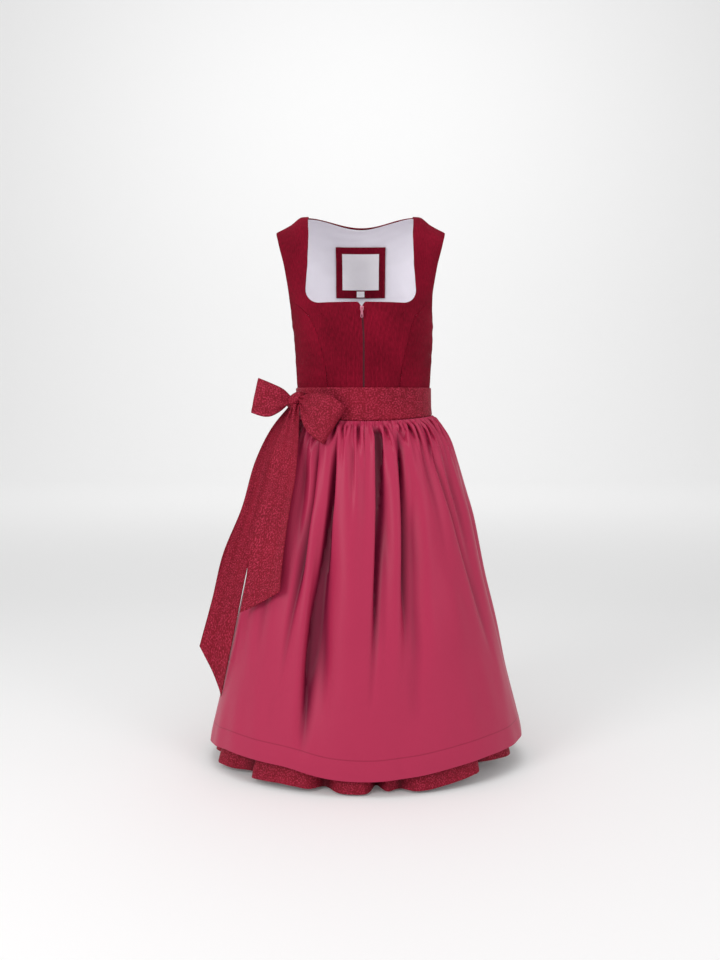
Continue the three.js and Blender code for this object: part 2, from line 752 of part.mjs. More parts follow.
// Zip: a tape behind the front edges, a chain between them, and a slider whose pull hangs on a pin.
const TAPE_HALF = 7.5;
const CHAIN_HALF = 2.2;
const CHAIN_CLOTH = 1.3;
const TAPE_CLOTH = 0.7;
const ZIP_TOP = NECKLINE - NOTCH - 1.5;
const zipRows = [WAIST_SEAM + 2, -353, -325, -300, -275, -250, -225, -210, ARMPIT, ZIP_TOP];
function zipStrip(half, lift, thick) {
  const columns = [-half, 0, half];
  return clothWall({
    across: columns.length,
    up: zipRows.length,
    place: (i, j) => [degrees(Math.asin(columns[i] / torsoHalf(zipRows[j]))), zipRows[j]],
    surface: torsoPoint,
    lift,
    thick,
  });
}
add("zip_tape", zipStrip(TAPE_HALF, -(BODICE_CLOTH + 0.35), TAPE_CLOTH), zipTape);
add("zip_chain", zipStrip(CHAIN_HALF, -0.1, CHAIN_CLOTH), zipTape);

const SLIDER = { wide: 7, high: 11, deep: 2.6, z: -195.5, clear: 0.5 };
const PIN = { radius: 0.7, half: 2.6, out: 2.3, up: 2.6 };
const LUG = { thick: 0.9, radius: 1.7 };
const PULL = { eye: 2, hole: 1.15, eyeThick: 2.2, long: 20, wide: 5.4, thick: 1.3 };
const sliderFace = -torsoFront(SLIDER.z - SLIDER.high / 2) - SLIDER.clear - SLIDER.deep;
const sliderX = leanAt(SLIDER.z);
const pivot = new THREE.Vector3(sliderX, sliderFace - PIN.out, SLIDER.z + PIN.up);

// A flat outline in x and z, given a thickness along Y, centred on y = 0.
function plate(outline, thick, bevel = 0) {
  const options = {
    depth: thick - 2 * bevel,
    bevelEnabled: bevel > 0,
    bevelThickness: bevel,
    bevelSize: bevel,
    bevelOffset: -bevel,
    bevelSegments: 2,
    curveSegments: 10,
  };
  const shape = new THREE.ExtrudeGeometry(outline, options);
  shape.translate(0, 0, -thick / 2 + bevel);
  shape.rotateX(Math.PI / 2);
  return mergeVertices(bareShape(shape), 1e-4);
}
function bareShape(shape) {
  const bare = new THREE.BufferGeometry();
  bare.setAttribute("position", shape.getAttribute("position"));
  if (shape.index) bare.setIndex(shape.index);
  return bare;
}
function alongX(radius, half) {
  const bar = new THREE.CylinderGeometry(radius, radius, 2 * half, 20);
  bar.rotateZ(Math.PI / 2);
  return mergeVertices(bareShape(bar), 1e-4);
}

// The slider: a shield-shaped body, two lugs, and the pin between them.
const shield = new THREE.Shape();
shield.moveTo(-SLIDER.wide / 2, SLIDER.high / 2);
shield.lineTo(SLIDER.wide / 2, SLIDER.high / 2);
shield.lineTo(SLIDER.wide / 2, -SLIDER.high / 8);
shield.lineTo(SLIDER.wide / 4, -SLIDER.high / 2);
shield.lineTo(-SLIDER.wide / 4, -SLIDER.high / 2);
shield.lineTo(-SLIDER.wide / 2, -SLIDER.high / 8);
shield.closePath();
const body = plate(shield, SLIDER.deep, 0.5);
body.translate(sliderX, sliderFace + SLIDER.deep / 2, SLIDER.z);
let slider = toSolid(body);
for (const side of [-1, 1]) {
  const x = sliderX + side * (PIN.half - LUG.thick / 2);
  const lug = alongX(LUG.radius, LUG.thick / 2);
  lug.translate(x, pivot.y, pivot.z);
  const foot = new THREE.BoxGeometry(LUG.thick, PIN.out + 0.6, 2 * LUG.radius);
  foot.translate(x, pivot.y + (PIN.out + 0.6) / 2, pivot.z);
  slider = slider.add(toSolid(lug)).add(toSolid(mergeVertices(bareShape(foot), 1e-4)));
}
const pin = alongX(PIN.radius, PIN.half - 0.2);
pin.translate(sliderX, pivot.y, pivot.z);
add("zip_slider", toGeometry(slider.add(toSolid(pin))), roseMetal);

// The pull: an eye round the pin, and a drop-shaped tab with a slot.
const drop = new THREE.Shape();
drop.moveTo(-1, -PULL.eye * 0.6);
drop.bezierCurveTo(-1.2, -6, -PULL.wide / 2, -9, -PULL.wide / 2, -PULL.long + PULL.wide / 2);
drop.absarc(0, -PULL.long + PULL.wide / 2, PULL.wide / 2, Math.PI, 2 * Math.PI);
drop.bezierCurveTo(PULL.wide / 2, -9, 1.2, -6, 1, -PULL.eye * 0.6);
drop.closePath();
const slot = new THREE.CylinderGeometry(PULL.wide / 5, PULL.wide / 5, 2 * PULL.thick, 16);
slot.scale(1, 1, 3);
slot.translate(0, 0, -PULL.long + PULL.wide / 2 + 1);
const eye = toSolid(alongX(PULL.eye, PULL.eyeThick / 2));
const hole = toSolid(alongX(PULL.hole, PULL.eyeThick));
const tab = toSolid(plate(drop, PULL.thick)).subtract(toSolid(mergeVertices(bareShape(slot), 1e-4)));
const pull = add("zip_pull", toGeometry(eye.add(tab).subtract(hole)), roseMetal);
pull.position.copy(pivot);

// Waistband round the front, and the tie that carries it on round the back.
const BAND_LIFT = 3.3;
const BAND_CLOTH = 2.4;
const BAND_ENDS = 100;
const END_GAP = 0.25;
const bandShares = [0, 0.3, 0.65, 1];
function bandPiece(from, to, count, narrow) {
  const turns = steps(from, to, count);
  return clothWall({
    across: turns.length,
    up: bandShares.length,
    place: (i, j) => {
      const bottom = bandEdge(turns[i]) + narrow;
      return [turns[i], bottom + (BAND_TOP - narrow - bottom) * bandShares[j]];
    },
    surface: torsoPoint,
    lift: BAND_LIFT,
    thick: BAND_CLOTH,
  });
}
const TIE_NARROWER = 4;
const TIE_FROM = BAND_ENDS + END_GAP;
add("apron_band", bandPiece(-BAND_ENDS, BAND_ENDS, 28, 0), jacquard);
add("tie_round_back", bandPiece(TIE_FROM, 360 - TIE_FROM, 20, TIE_NARROWER), jacquard);

// Bow. Each ribbon is a sheet between two edges, given from the knot outwards. rounded says how far its
// middle stands out, and ripple how deep its pleats are at the knot.
const path = (points) => new THREE.CatmullRomCurve3(points, false, "centripetal");

function ribbon({ left, right, along, across, rounded = 0, ripple = 0, pleats = 2 }) {
  const from = path(left);
  const to = path(right);
  const surface = (s, v) => {
    const start = from.getPoint(s);
    const width = to.getPoint(s).sub(start);
    const facing = from.getTangent(s).add(to.getTangent(s)).cross(width).normalize();
    const pleat = ripple * (1 - s) ** 3 * Math.sin(Math.PI * pleats * v) ** 2;
    const out = rounded * Math.min(1, 4 * s) * 4 * v * (1 - v) + pleat;
    return start.addScaledVector(width, v).addScaledVector(facing, out);
  };
  const STEP = 0.004;
  const outer = [];
  const inner = [];
  const faces = [];
  for (let j = 0; j <= across; j += 1) {
    for (let i = 0; i <= along; i += 1) {
      const [s, v] = [i / along, j / across];
      const alongS = surface(Math.min(s + STEP, 1), v).sub(surface(Math.max(s - STEP, 0), v));
      const alongV = surface(s, v + STEP).sub(surface(s, v - STEP));
      const normal = alongS.cross(alongV).normalize();
      outer.push(surface(s, v).addScaledVector(normal, RIBBON_CLOTH / 2));
      inner.push(surface(s, v).addScaledVector(normal, -RIBBON_CLOTH / 2));
      if (i === along || j === across) continue;
      const a = j * (along + 1) + i;
      faces.push([a, a + 1, a + along + 2], [a, a + along + 2, a + along + 1]);
    }
  }
  return closedWall(outer, inner, faces);
}
const vectors = (rows) => rows.map(({ x, y, z }) => new THREE.Vector3(x + LEAN, y, z));

// A loop goes out along its edges and comes back behind itself, open between the two layers.
function loop({ upper, lower, gaps, along = 18, across = 5 }) {
  const high = vectors(upper);
  const low = vectors(lower);
  const last = high.length - 1;
  const facing = high[last].clone().sub(high[0]).cross(low[last].clone().sub(high[last])).normalize();
  if (facing.y > 0) facing.negate();
  const there = (row, side) => row.map((p, i) => p.clone().addScaledVector(facing, (side * gaps[i]) / 2));
  const round = (row) => [...there(row, 1), ...there(row, -1).reverse()];
  return ribbon({ left: round(high), right: round(low), along, across, ripple: 2.5, pleats: 2 });
}

const leftLoop = {
  upper: [
    { x: -146, y: -60, z: -364 },
    { x: -162, y: -60, z: -349 },
    { x: -189, y: -56, z: -336 },
    { x: -211, y: -53, z: -327 },
  ],
  lower: [
    { x: -148, y: -62, z: -377 },
    { x: -172, y: -62, z: -396 },
    { x: -195, y: -57, z: -405 },
    { x: -226, y: -53, z: -397 },
  ],
  gaps: [4, 13, 16, 7],
};
const rightLoop = {
  upper: [
    { x: -127, y: -73, z: -364 },
    { x: -99, y: -99, z: -361 },
    { x: -65, y: -111, z: -365 },
    { x: -37, y: -117, z: -384 },
  ],
  lower: [
    { x: -128, y: -74, z: -377 },
    { x: -118, y: -104, z: -418 },
    { x: -103, y: -124, z: -440 },
    { x: -80, y: -137, z: -455 },
  ],
  gaps: [4, 15, 18, 8],
};
const frontTail = {
  left: [
    { x: -143, y: -68, z: -380 },
    { x: -166, y: -75, z: -432 },
    { x: -179, y: -82, z: -465 },
    { x: -193, y: -88, z: -531 },
    { x: -204, y: -93, z: -572 },
    { x: -226, y: -98, z: -663 },
    { x: -236, y: -109, z: -739 },
    { x: -246, y: -115, z: -793 },
  ],
  right: [
    { x: -129, y: -76, z: -380 },
    { x: -128, y: -103, z: -422 },
    { x: -129, y: -121, z: -461 },
    { x: -134, y: -141, z: -526 },
    { x: -141, y: -149, z: -566 },
    { x: -151, y: -160, z: -633 },
    { x: -158, y: -170, z: -693 },
    { x: -162, y: -176, z: -739 },
  ],
};
const backTail = {
  left: [
    { x: -146, y: -52, z: -377 },
    { x: -189, y: -42, z: -430 },
    { x: -221, y: -50, z: -496 },
    { x: -249, y: -48, z: -590 },
    { x: -290, y: -40, z: -688 },
    { x: -313, y: -35, z: -779 },
    { x: -342, y: -30, z: -882 },
  ],
  right: [
    { x: -137, y: -57, z: -380 },
    { x: -159, y: -58, z: -430 },
    { x: -180, y: -72, z: -500 },
    { x: -205, y: -74, z: -590 },
    { x: -235, y: -56, z: -700 },
    { x: -256, y: -56, z: -800 },
    { x: -294, y: -56, z: -982 },
  ],
};

// The knot: the ribbon's turn over the loops, at the wearer's right side.
const KNOT = { x: -137, y: -59, z: -371 };
const KNOT_SIZE = { long: 23, deep: 16, high: 13 };
const KNOT_TURN = -38;
const KNOT_SLOPE = -36;
const KNOT_CLEAR = 0.5;
function knotShape(grow) {
  const shape = new THREE.SphereGeometry(1, 14, 10);
  shape.scale(KNOT_SIZE.long + grow, KNOT_SIZE.deep + grow, KNOT_SIZE.high + grow);
  shape.rotateY(radians(KNOT_SLOPE));
  shape.rotateZ(radians(KNOT_TURN));
  shape.translate(KNOT.x + LEAN, KNOT.y, KNOT.z);
  return shape;
}

// What is tied into the knot stops just short of it.
const knotRoom = toSolid(knotShape(KNOT_CLEAR));
const outsideKnot = (geometry) => {
  const pieces = toSolid(geometry).subtract(knotRoom).decompose();
  return toGeometry(pieces.sort((a, b) => b.volume() - a.volume())[0]);
};
function tail({ left, right }) {
  const edges = { left: vectors(right), right: vectors(left) };
  return ribbon({ ...edges, along: 13, across: 4, rounded: 6, ripple: 5 });
}
add("bow_knot", toGeometry(toSolid(knotShape(0))), jacquard);
add("bow_loop_left", outsideKnot(loop(leftLoop)), jacquard);
add("bow_loop_right", outsideKnot(loop(rightLoop)), jacquard);
add("tie_tail_front", outsideKnot(tail(frontTail)), jacquard);
add("tie_tail_back", outsideKnot(tail(backTail)), jacquard);

export default dirndl;
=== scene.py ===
# %% [markdown]
# # A dirndl, dressed in cloth around its solid model
# The solid model gives every piece of this dress its place and size. It has few faces, so here each of its
# cloth pieces gets a finer twin with the small folds, seams and weave that the eye looks for.

# %% Load the solid model, with each piece kept where it stands
from functools import partial
import math

import bmesh
import bpy
import numpy as np
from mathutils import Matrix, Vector


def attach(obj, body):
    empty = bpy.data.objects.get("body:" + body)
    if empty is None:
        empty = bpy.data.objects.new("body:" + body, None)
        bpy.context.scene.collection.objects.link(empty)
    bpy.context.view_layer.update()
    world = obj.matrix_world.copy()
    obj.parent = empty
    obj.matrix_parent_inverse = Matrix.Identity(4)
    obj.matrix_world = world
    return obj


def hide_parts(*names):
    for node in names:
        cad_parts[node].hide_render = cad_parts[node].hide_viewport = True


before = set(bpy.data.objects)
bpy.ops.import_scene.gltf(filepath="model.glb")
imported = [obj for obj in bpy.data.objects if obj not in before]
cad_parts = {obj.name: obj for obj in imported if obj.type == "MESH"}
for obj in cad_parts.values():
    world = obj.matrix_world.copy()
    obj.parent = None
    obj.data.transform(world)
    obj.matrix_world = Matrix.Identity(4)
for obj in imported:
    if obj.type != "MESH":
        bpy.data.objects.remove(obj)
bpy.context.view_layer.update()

print("solid pieces:", len(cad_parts))

# %% [markdown]
# ## Tables and curves
# A worn form is easiest to describe by a few measured rings. A smooth curve through the rings gives every
# height between them. Curves that never overshoot are used, so that the form has no bulge that nobody
# measured. Sizes are in millimetres, down from the neck points, as a tape would read them, and each mesh
# is scaled to metres once, at the end.

# %% Small tables and smooth curves
MM = 0.001


def table(columns, *rows):
    """A small table: the names of its columns, then its rows."""
    return {name: np.array(values, float) for name, values in zip(columns.split(), zip(*rows))}


def smooth_curve(data, along, column):
    """A smooth curve through one column of a table, held level past its ends."""
    order = np.argsort(data[along])
    at = data[along][order]
    value = data[column][order]
    step = np.diff(at)
    grade = np.diff(value) / step
    before, after = grade[:-1], grade[1:]
    same_way = before * after > 0
    slope = np.zeros(len(at))
    slope[1:-1][same_way] = (2 * before * after)[same_way] / (before + after)[same_way]

    def value_at(place):
        place = np.clip(place, at[0], at[-1])
        i = np.clip(np.searchsorted(at, place, side="right") - 1, 0, len(step) - 1)
        t = (place - at[i]) / step[i]
        rise = value[i + 1] - value[i]
        bend = (1 - t) * slope[i] - t * slope[i + 1]
        return value[i] + t * t * (3 - 2 * t) * rise + step[i] * t * (1 - t) * bend

    return value_at


def curves(data, along, columns):
    """A smooth curve through each named column of a table."""
    return [smooth_curve(data, along, column) for column in columns.split()]


def eased(t):
    """0 to 1, leaving and arriving softly."""
    t = np.clip(t, 0, 1)
    return t * t * (3 - 2 * t)


def hump(distance, width):
    """A soft bump, 1 in the middle."""
    return np.exp(-((distance / width) ** 2))


def signed_between(a, b):
    """From one turn to another in degrees, the short way round."""
    return (a - b + 180) % 360 - 180


# %% The heights and widths that drive the dress
ARMPIT = -199
NECKLINE = -181
BAND_TOP = -346
WAIST_SEAM = -385
BAND_FRONT = -412
BAND_SIDE = -403
APRON_STITCH = -1057
APRON_HEM = -1097
SKIRT_HEM = -1116
NECK_HALF = 106
NECK_CORNER = 110
CORNER_RADIUS = 27
BACK_NECK_DIP = 0.32
SHOULDER_CAP = 100
CAP_TOP = SHOULDER_CAP * (math.pi / 2 - 1)
ZIP_HALF = 3.2
NOTCH = 7
LEAN, LEAN_TOP, LEAN_RUN = 6, -145, 120  # how far aside it hangs, from where, and over what height
SWAY, SWAY_TOP, SWAY_RUN = 5, -425, 150  # the same for the skirt
SKIRT_FLUTE_TOP = -470
GATHER_STEP = 3
APRON_REACH = 108
BODICE_CLOTH = 1.5
LINING_CLOTH = 1.0
SKIRT_CLOTH = 1.2
RIBBON_CLOTH = 1.4
SEAM_GAP = 0.4
LINING_GAP = 1.3

torso = table(
    "z half front back",
    (0, 188, 108, 100), (-28, 183, 108, 100), (-77, 172.5, 109, 102), (-125, 160, 113, 104),
    (-150, 154.5, 118, 104), (-175, 149.5, 124, 104), (-199, 145, 128, 103),
    (-225, 143.5, 130, 101), (-250, 142, 129, 99), (-275, 140.5, 124, 96), (-300, 139, 117, 93),
    (-325, 137.5, 109, 91), (-350, 136.5, 104, 90), (-385, 137, 102, 91), (-414, 140, 104, 94),
)
flare = table(
    "z half front back",
    (-385, 137, 102, 91), (-400, 140, 103, 94), (-412, 149, 109, 103), (-425, 161, 121, 115),
    (-440, 171, 131, 127), (-460, 182, 141, 139), (-485, 191, 149, 149), (-510, 199, 156, 157),
    (-560, 214, 168, 170), (-610, 228, 178, 181), (-660, 239, 187, 190), (-740, 256, 201, 204),
    (-840, 278, 217, 220), (-940, 299, 231, 234), (-1000, 312, 238, 242), (-1057, 325, 244, 249),
    (-1097, 334, 248, 254), (-1116, 337, 250, 256),
)
print("from the neck points to the hem:", -SKIRT_HEM, "mm")

# %% [markdown]
# ## The worn form
# The bodice follows the torso's rings up to the chest and then rounds over the shoulder like the edge of a
# cylinder. Every point of the cloth is named by its turn, 0 at the centre front and 180 at the centre
# back, and by its rise, the height measured along the cloth. The solid model uses the same two numbers, so
# both forms agree.

# %% Armholes, seams, neck and shoulder
armhole_turn = smooth_curve(
    table(
        "z turn",
        (0, 66), (-28, 66), (-77, 65.5), (-125, 69), (-150, 71), (-175, 75), (-190, 80), (-196, 85),
        (ARMPIT, 90),
    ),
    "z",
    "turn",
)
front_seam = table(
    "z turn",
    (-163, 73), (-171, 68), (-181, 60.5), (-190, 55), (-199, 50.5), (-210, 46), (-234, 41),
    (-263, 37.5), (-293, 34.3), (-322, 32.5), (-385, 31.2),
)
back_seam = table(
    "z turn",
    (-95, 66.5), (-112, 58), (-130, 50), (-154, 42), (-181, 35.5), (-225, 28), (-300, 21),
    (-385, 17),
)
neck_side = table("z x", (0, 106), (-50, 103.5), (-100, 105.5), (-154, 110), (-181, 110))
shoulder = table("x z", (118, 0), (143, -16), (168, -29), (200, -40))

torso_half, torso_front, torso_back = curves(torso, "z", "half front back")
flare_half, flare_front, flare_back = curves(flare, "z", "half front back")
front_seam_turn = smooth_curve(front_seam, "z", "turn")
back_seam_turn = smooth_curve(back_seam, "z", "turn")
neck_side_x = smooth_curve(neck_side, "z", "x")
shoulder_fall = smooth_curve(shoulder, "x", "z")


# %% Points on the bodice and on the flared skirt
def lean_at(z):
    """How far the dress hangs to +X of its shoulders at a height."""
    return LEAN * eased((LEAN_TOP - z) / LEAN_RUN)


def level_of(rise):
    """The height that a rise reaches where the shoulder's cap is whole."""
    over = SHOULDER_CAP * (np.sin((np.maximum(rise, -SHOULDER_CAP) + SHOULDER_CAP) / SHOULDER_CAP) - 1)
    return np.where(rise < -SHOULDER_CAP, rise, over)


def cap_reach(x):
    """All of the cap on the straps, and less of it across the back of the neck."""
    return 1 - BACK_NECK_DIP * np.maximum(0, 1 - (x / NECK_HALF) ** 2) ** 1.5


def torso_point(turn, rise):
    """A point of the bodice's outer face, in millimetres."""
    turn, rise = np.broadcast_arrays(np.asarray(turn, float), np.asarray(rise, float))
    around = np.radians(turn)
    level = level_of(rise)
    x = torso_half(level) * np.sin(around)
    bend = np.maximum(0, cap_reach(x) * (rise + SHOULDER_CAP) / SHOULDER_CAP)
    height = np.where(rise > -SHOULDER_CAP, SHOULDER_CAP * (np.sin(bend) - 1), rise)
    depth = np.where(np.cos(around) > 0, torso_front(height), torso_back(height))
    share = np.clip((height - ARMPIT) / -ARMPIT, 0, 1)
    fall = shoulder_fall(np.abs(x)) * share
    return np.stack([x + lean_at(height), -depth * np.cos(bend) * np.cos(around), height + fall], axis=-1)


def flare_point(turn, z, out):
    """A point of the skirt's ring, moved outwards by what its folds give."""
    turn, z, out = np.broadcast_arrays(turn, z, out)
    around = np.radians(turn)
    depth = np.where(np.cos(around) > 0, flare_front(z), flare_back(z))
    sway = SWAY * np.clip((SWAY_TOP - z) / SWAY_RUN, 0, 1)
    x = LEAN + sway + (flare_half(z) - sway + out) * np.sin(around)
    return np.stack([x, -(depth + out) * np.cos(around), z], axis=-1)


print("shoulder to shoulder:", round(2 * float(torso_half(0)) * math.sin(math.radians(66))), "mm")

# %% [markdown]
# ## One way to make every cloth
# A woven cloth is a grid of threads, so each piece starts as a flat grid. Its points are then moved onto
# the worn form, and a thickness is added to the inside. The grid also keeps a map of the flat cloth, in
# metres, so that the weave follows the threads through every fold, as it does on a real dress.


# %% From a flat grid to a cloth wall
def grid_mesh(name, across, up, keep=None):
    """A flat grid with its columns i and rows j as arrays. keep(i, j) says which cells are cloth."""
    form = bmesh.new()
    bmesh.ops.create_grid(form, x_segments=across, y_segments=up, size=1)
    if keep is not None:
        cut = []
        for face in form.faces:
            middle = face.calc_center_median()
            column = int((middle.x + 1) / 2 * across)
            row = int((middle.y + 1) / 2 * up)
            if not keep(column, row):
                cut.append(face)
        bmesh.ops.delete(form, geom=cut, context="FACES")
    mesh = mesh_of(form, name)
    flat = points_of(mesh)
    i = np.rint((flat[:, 0] + 1) / 2 * across).astype(int)
    j = np.rint((flat[:, 1] + 1) / 2 * up).astype(int)
    return mesh, i, j


def mesh_of(form, name):
    """A mesh made of a bmesh form, which is then freed."""
    mesh = bpy.data.meshes.new(name)
    form.to_mesh(mesh)
    form.free()
    return mesh


def points_of(mesh):
    """A mesh's points as rows."""
    flat = np.empty(len(mesh.vertices) * 3)
    mesh.vertices.foreach_get("co", flat)
    return flat.reshape(-1, 3)


def facing_of(surface, u, v, step=0.05):
    """The outward direction of a surface at each point, from two short steps along it."""
    along_u = surface(u + step, v) - surface(u - step, v)
    along_v = surface(u, v + step) - surface(u, v - step)
    facing = np.cross(along_u, along_v)
    return facing / np.maximum(np.linalg.norm(facing, axis=-1, keepdims=True), 1e-9)


def lay_flat_map(mesh, metres):
    """Gives each corner of each face its place on the flat cloth."""
    corners = np.empty(len(mesh.loops), int)
    mesh.loops.foreach_get("vertex_index", corners)
    layer = mesh.uv_layers.new(name="cloth")
    layer.data.foreach_set("uv", metres[corners].ravel())


def thickened(piece, thick, sharp=50):
    """Adds the cloth's thickness to the inside, and keeps its cut edges crisp."""
    if thick:
        wall = piece.modifiers.new("thickness", "SOLIDIFY")
        wall.thickness = thick * MM
        wall.offset = -1
        wall.use_rim = True
        solid = piece.evaluated_get(bpy.context.evaluated_depsgraph_get())
        piece.data = bpy.data.meshes.new_from_object(solid)
        piece.modifiers.clear()
    piece.data.polygons.foreach_set("use_smooth", [True] * len(piece.data.polygons))
    piece.data.set_sharp_from_angle(angle=math.radians(sharp))
    return piece


def shown(name, mesh):
    """Puts a mesh in the scene as an object at the origin."""
    piece = bpy.data.objects.new(name, mesh)
    bpy.context.scene.collection.objects.link(piece)
    return piece


# The grid columns that count as beside a point, and the depth in millimetres of a fold that gets the full
# painted shade.
FOLD_REACH = 14
FOLD_DEEP = 9.0


def painted_fold_shade(points, facing, i, j):
    """How deep each point lies between its neighbours to both sides, the mask of painted shade: 0 on open
    cloth, 1 in a deep fold.
    """
    order = np.lexsort((i, j))
    rows = j.max() + 1
    grid = points[order].reshape(rows, -1, 3)
    count = grid.shape[1]
    padded = np.pad(grid, ((0, 0), (FOLD_REACH, FOLD_REACH), (0, 0)), mode="edge")
    beside = np.zeros_like(grid)
    for away in range(2 * FOLD_REACH + 1):
        beside += padded[:, away:away + count] / (2 * FOLD_REACH + 1)
    deep = np.empty(len(points))
    deep[order] = ((beside - grid) * facing[order].reshape(rows, -1, 3)).sum(axis=-1).ravel()
    return np.clip(deep / FOLD_DEEP, 0, 1)


def cloth(name, across, up, place, surface, thick, out=None, flat=None, keep=None, lift=0, step=0.05):
    """A cloth wall: place(i, j) gives its surface coordinates, out moves it outwards, flat maps it."""
    mesh, i, j = grid_mesh(name, across, up, keep)
    u, v = place(i, j)
    points = surface(u, v)
    facing = facing_of(surface, u, v, step)
    moved = lift + (out(u, v) if out is not None else 0)
    points = points + facing * np.broadcast_to(moved, u.shape)[:, None]
    mesh.vertices.foreach_set("co", (points * MM).ravel())
    lay_flat_map(mesh, (flat(u, v) if flat is not None else np.stack([u, v], axis=-1)) * MM)
    # Each point's fold depth, kept as the mask of painted shade that the jacquard and satin lay in their
    # folds.
    if keep is None:
        folds = mesh.attributes.new("painted_fold_shade", "FLOAT", "POINT")
        folds.data.foreach_set("value", painted_fold_shade(points, facing, i, j))
    mesh.update()
    return thickened(shown(name, mesh), thick)


# %% Soft unevenness
def unevenness(a, b, seed, terms=7, shortest=0.35):
    """A soft, repeatable unevenness between -1 and 1, made of a few crossing waves of unlike lengths."""
    draw = np.random.default_rng(seed)
    total = np.zeros(np.broadcast(a, b).shape)
    for _ in range(terms):
        way = draw.uniform(0, 2 * math.pi)
        length = draw.uniform(shortest, 1)
        phase = draw.uniform(0, 2 * math.pi)
        total = total + np.sin(2 * math.pi * (a * math.cos(way) + b * math.sin(way)) / length + phase)
    return total / math.sqrt(terms * 2)


print("cloth helpers ready")

# %% [markdown]
# ## Finishes
# The dress has five cloths: a fine corduroy, a smooth lining, a tone-on-tone floral jacquard, a satin, and
# a woven label. Each is a thread pattern on the flat map of its cloth, so the pattern bends with the
# folds. What several cloths need, a fine weave and an uneven dye, is built once as a node group and placed
# in each material. The corduroy has painted shade in its grooves, and the jacquard and satin in their folds.


# %% Helpers for node trees
def node_of(tree, kind, **settings):
    """A new node with some of its properties or inputs set."""
    made = tree.nodes.new(kind)
    for key, value in settings.items():
        if hasattr(made, key):
            setattr(made, key, value)
        else:
            made.inputs[key.replace("_", " ")].default_value = value
    return made


def feed(tree, value, socket):
    """Sets an input to a value, or links it to another node's output."""
    if isinstance(value, bpy.types.NodeSocket):
        tree.links.new(value, socket)
    else:
        socket.default_value = value


def maths(tree, operation, *values):
    """A Math node: each value is a number or another node's output."""
    made = tree.nodes.new("ShaderNodeMath")
    made.operation = operation
    for socket, value in zip(made.inputs, values):
        feed(tree, value, socket)
    return made.outputs[0]


def noise(tree, vector, **settings):
    """A Noise node's value at a place."""
    made = node_of(tree, "ShaderNodeTexNoise", **settings)
    tree.links.new(vector, made.inputs["Vector"])
    return made.outputs[0]


def parts_of(tree, vector):
    """The three numbers of a place."""
    made = node_of(tree, "ShaderNodeSeparateXYZ")
    tree.links.new(vector, made.inputs[0])
    return made.outputs


def blend(tree, share, first, second, **settings):
    """A colour between two, or one laid over the other."""
    made = node_of(tree, "ShaderNodeMix", data_type="RGBA", **settings)
    sockets = (made.inputs["Factor"], made.inputs[6], made.inputs[7])
    for socket, value in zip(sockets, (share, first, second)):
        feed(tree, value, socket)
    return made.outputs[2]


def new_group(name, inputs, outputs):
    """An empty node group with named sockets."""
    tree = bpy.data.node_groups.new(name, "ShaderNodeTree")
    for label, kind, value in inputs:
        socket = tree.interface.new_socket(name=label, in_out="INPUT", socket_type=kind)
        if value is not None:
            socket.default_value = value
    for label, kind in outputs:
        tree.interface.new_socket(name=label, in_out="OUTPUT", socket_type=kind)
    return tree, tree.nodes.new("NodeGroupInput"), tree.nodes.new("NodeGroupOutput")


# %% Node group: a plain weave of threads
def build_weave():
    """Crossing threads: a height for the bump, from the flat map and a thread pitch."""
    tree, given, made = new_group(
        "thread weave",
        [("Vector", "NodeSocketVector", None), ("Threads per metre", "NodeSocketFloat", 1500.0)],
        [("Height", "NodeSocketFloat")],
    )
    m = partial(maths, tree)
    across, along, _ = parts_of(tree, given.outputs["Vector"])
    turn = m("MULTIPLY", given.outputs["Threads per metre"], math.pi)
    warp = m("SINE", m("MULTIPLY", across, turn))
    weft = m("SINE", m("MULTIPLY", along, turn))
    tree.links.new(m("MULTIPLY", warp, weft), made.inputs["Height"])
    return tree


weave_group = build_weave()


# %% Node group: dye that took unevenly
def build_dye():
    """A colour varied a little in large soft areas and in fine slubs."""
    tree, given, made = new_group(
        "uneven dye",
        [
            ("Vector", "NodeSocketVector", None),
            ("Color", "NodeSocketColor", (0.5, 0.1, 0.1, 1)),
            ("Amount", "NodeSocketFloat", 0.1),
        ],
        [("Color", "NodeSocketColor"), ("Mask", "NodeSocketFloat")],
    )
    m = partial(maths, tree)
    stretch = node_of(tree, "ShaderNodeMapping", Scale=(1.0, 0.25, 1.0))
    tree.links.new(given.outputs["Vector"], stretch.inputs["Vector"])
    large = noise(tree, given.outputs["Vector"], Scale=9.0, Detail=2.0)
    fine = noise(tree, stretch.outputs[0], Scale=420.0, Detail=3.0)
    both = m("ADD", large, fine)
    around = m("MULTIPLY", m("SUBTRACT", both, 1.0), given.outputs["Amount"])
    value = m("ADD", around, 1.0)
    tint = node_of(tree, "ShaderNodeHueSaturation")
    tree.links.new(given.outputs["Color"], tint.inputs["Color"])
    tree.links.new(value, tint.inputs["Value"])
    tree.links.new(tint.outputs[0], made.inputs["Color"])
    tree.links.new(both, made.inputs["Mask"])
    return tree


dye_group = build_dye()


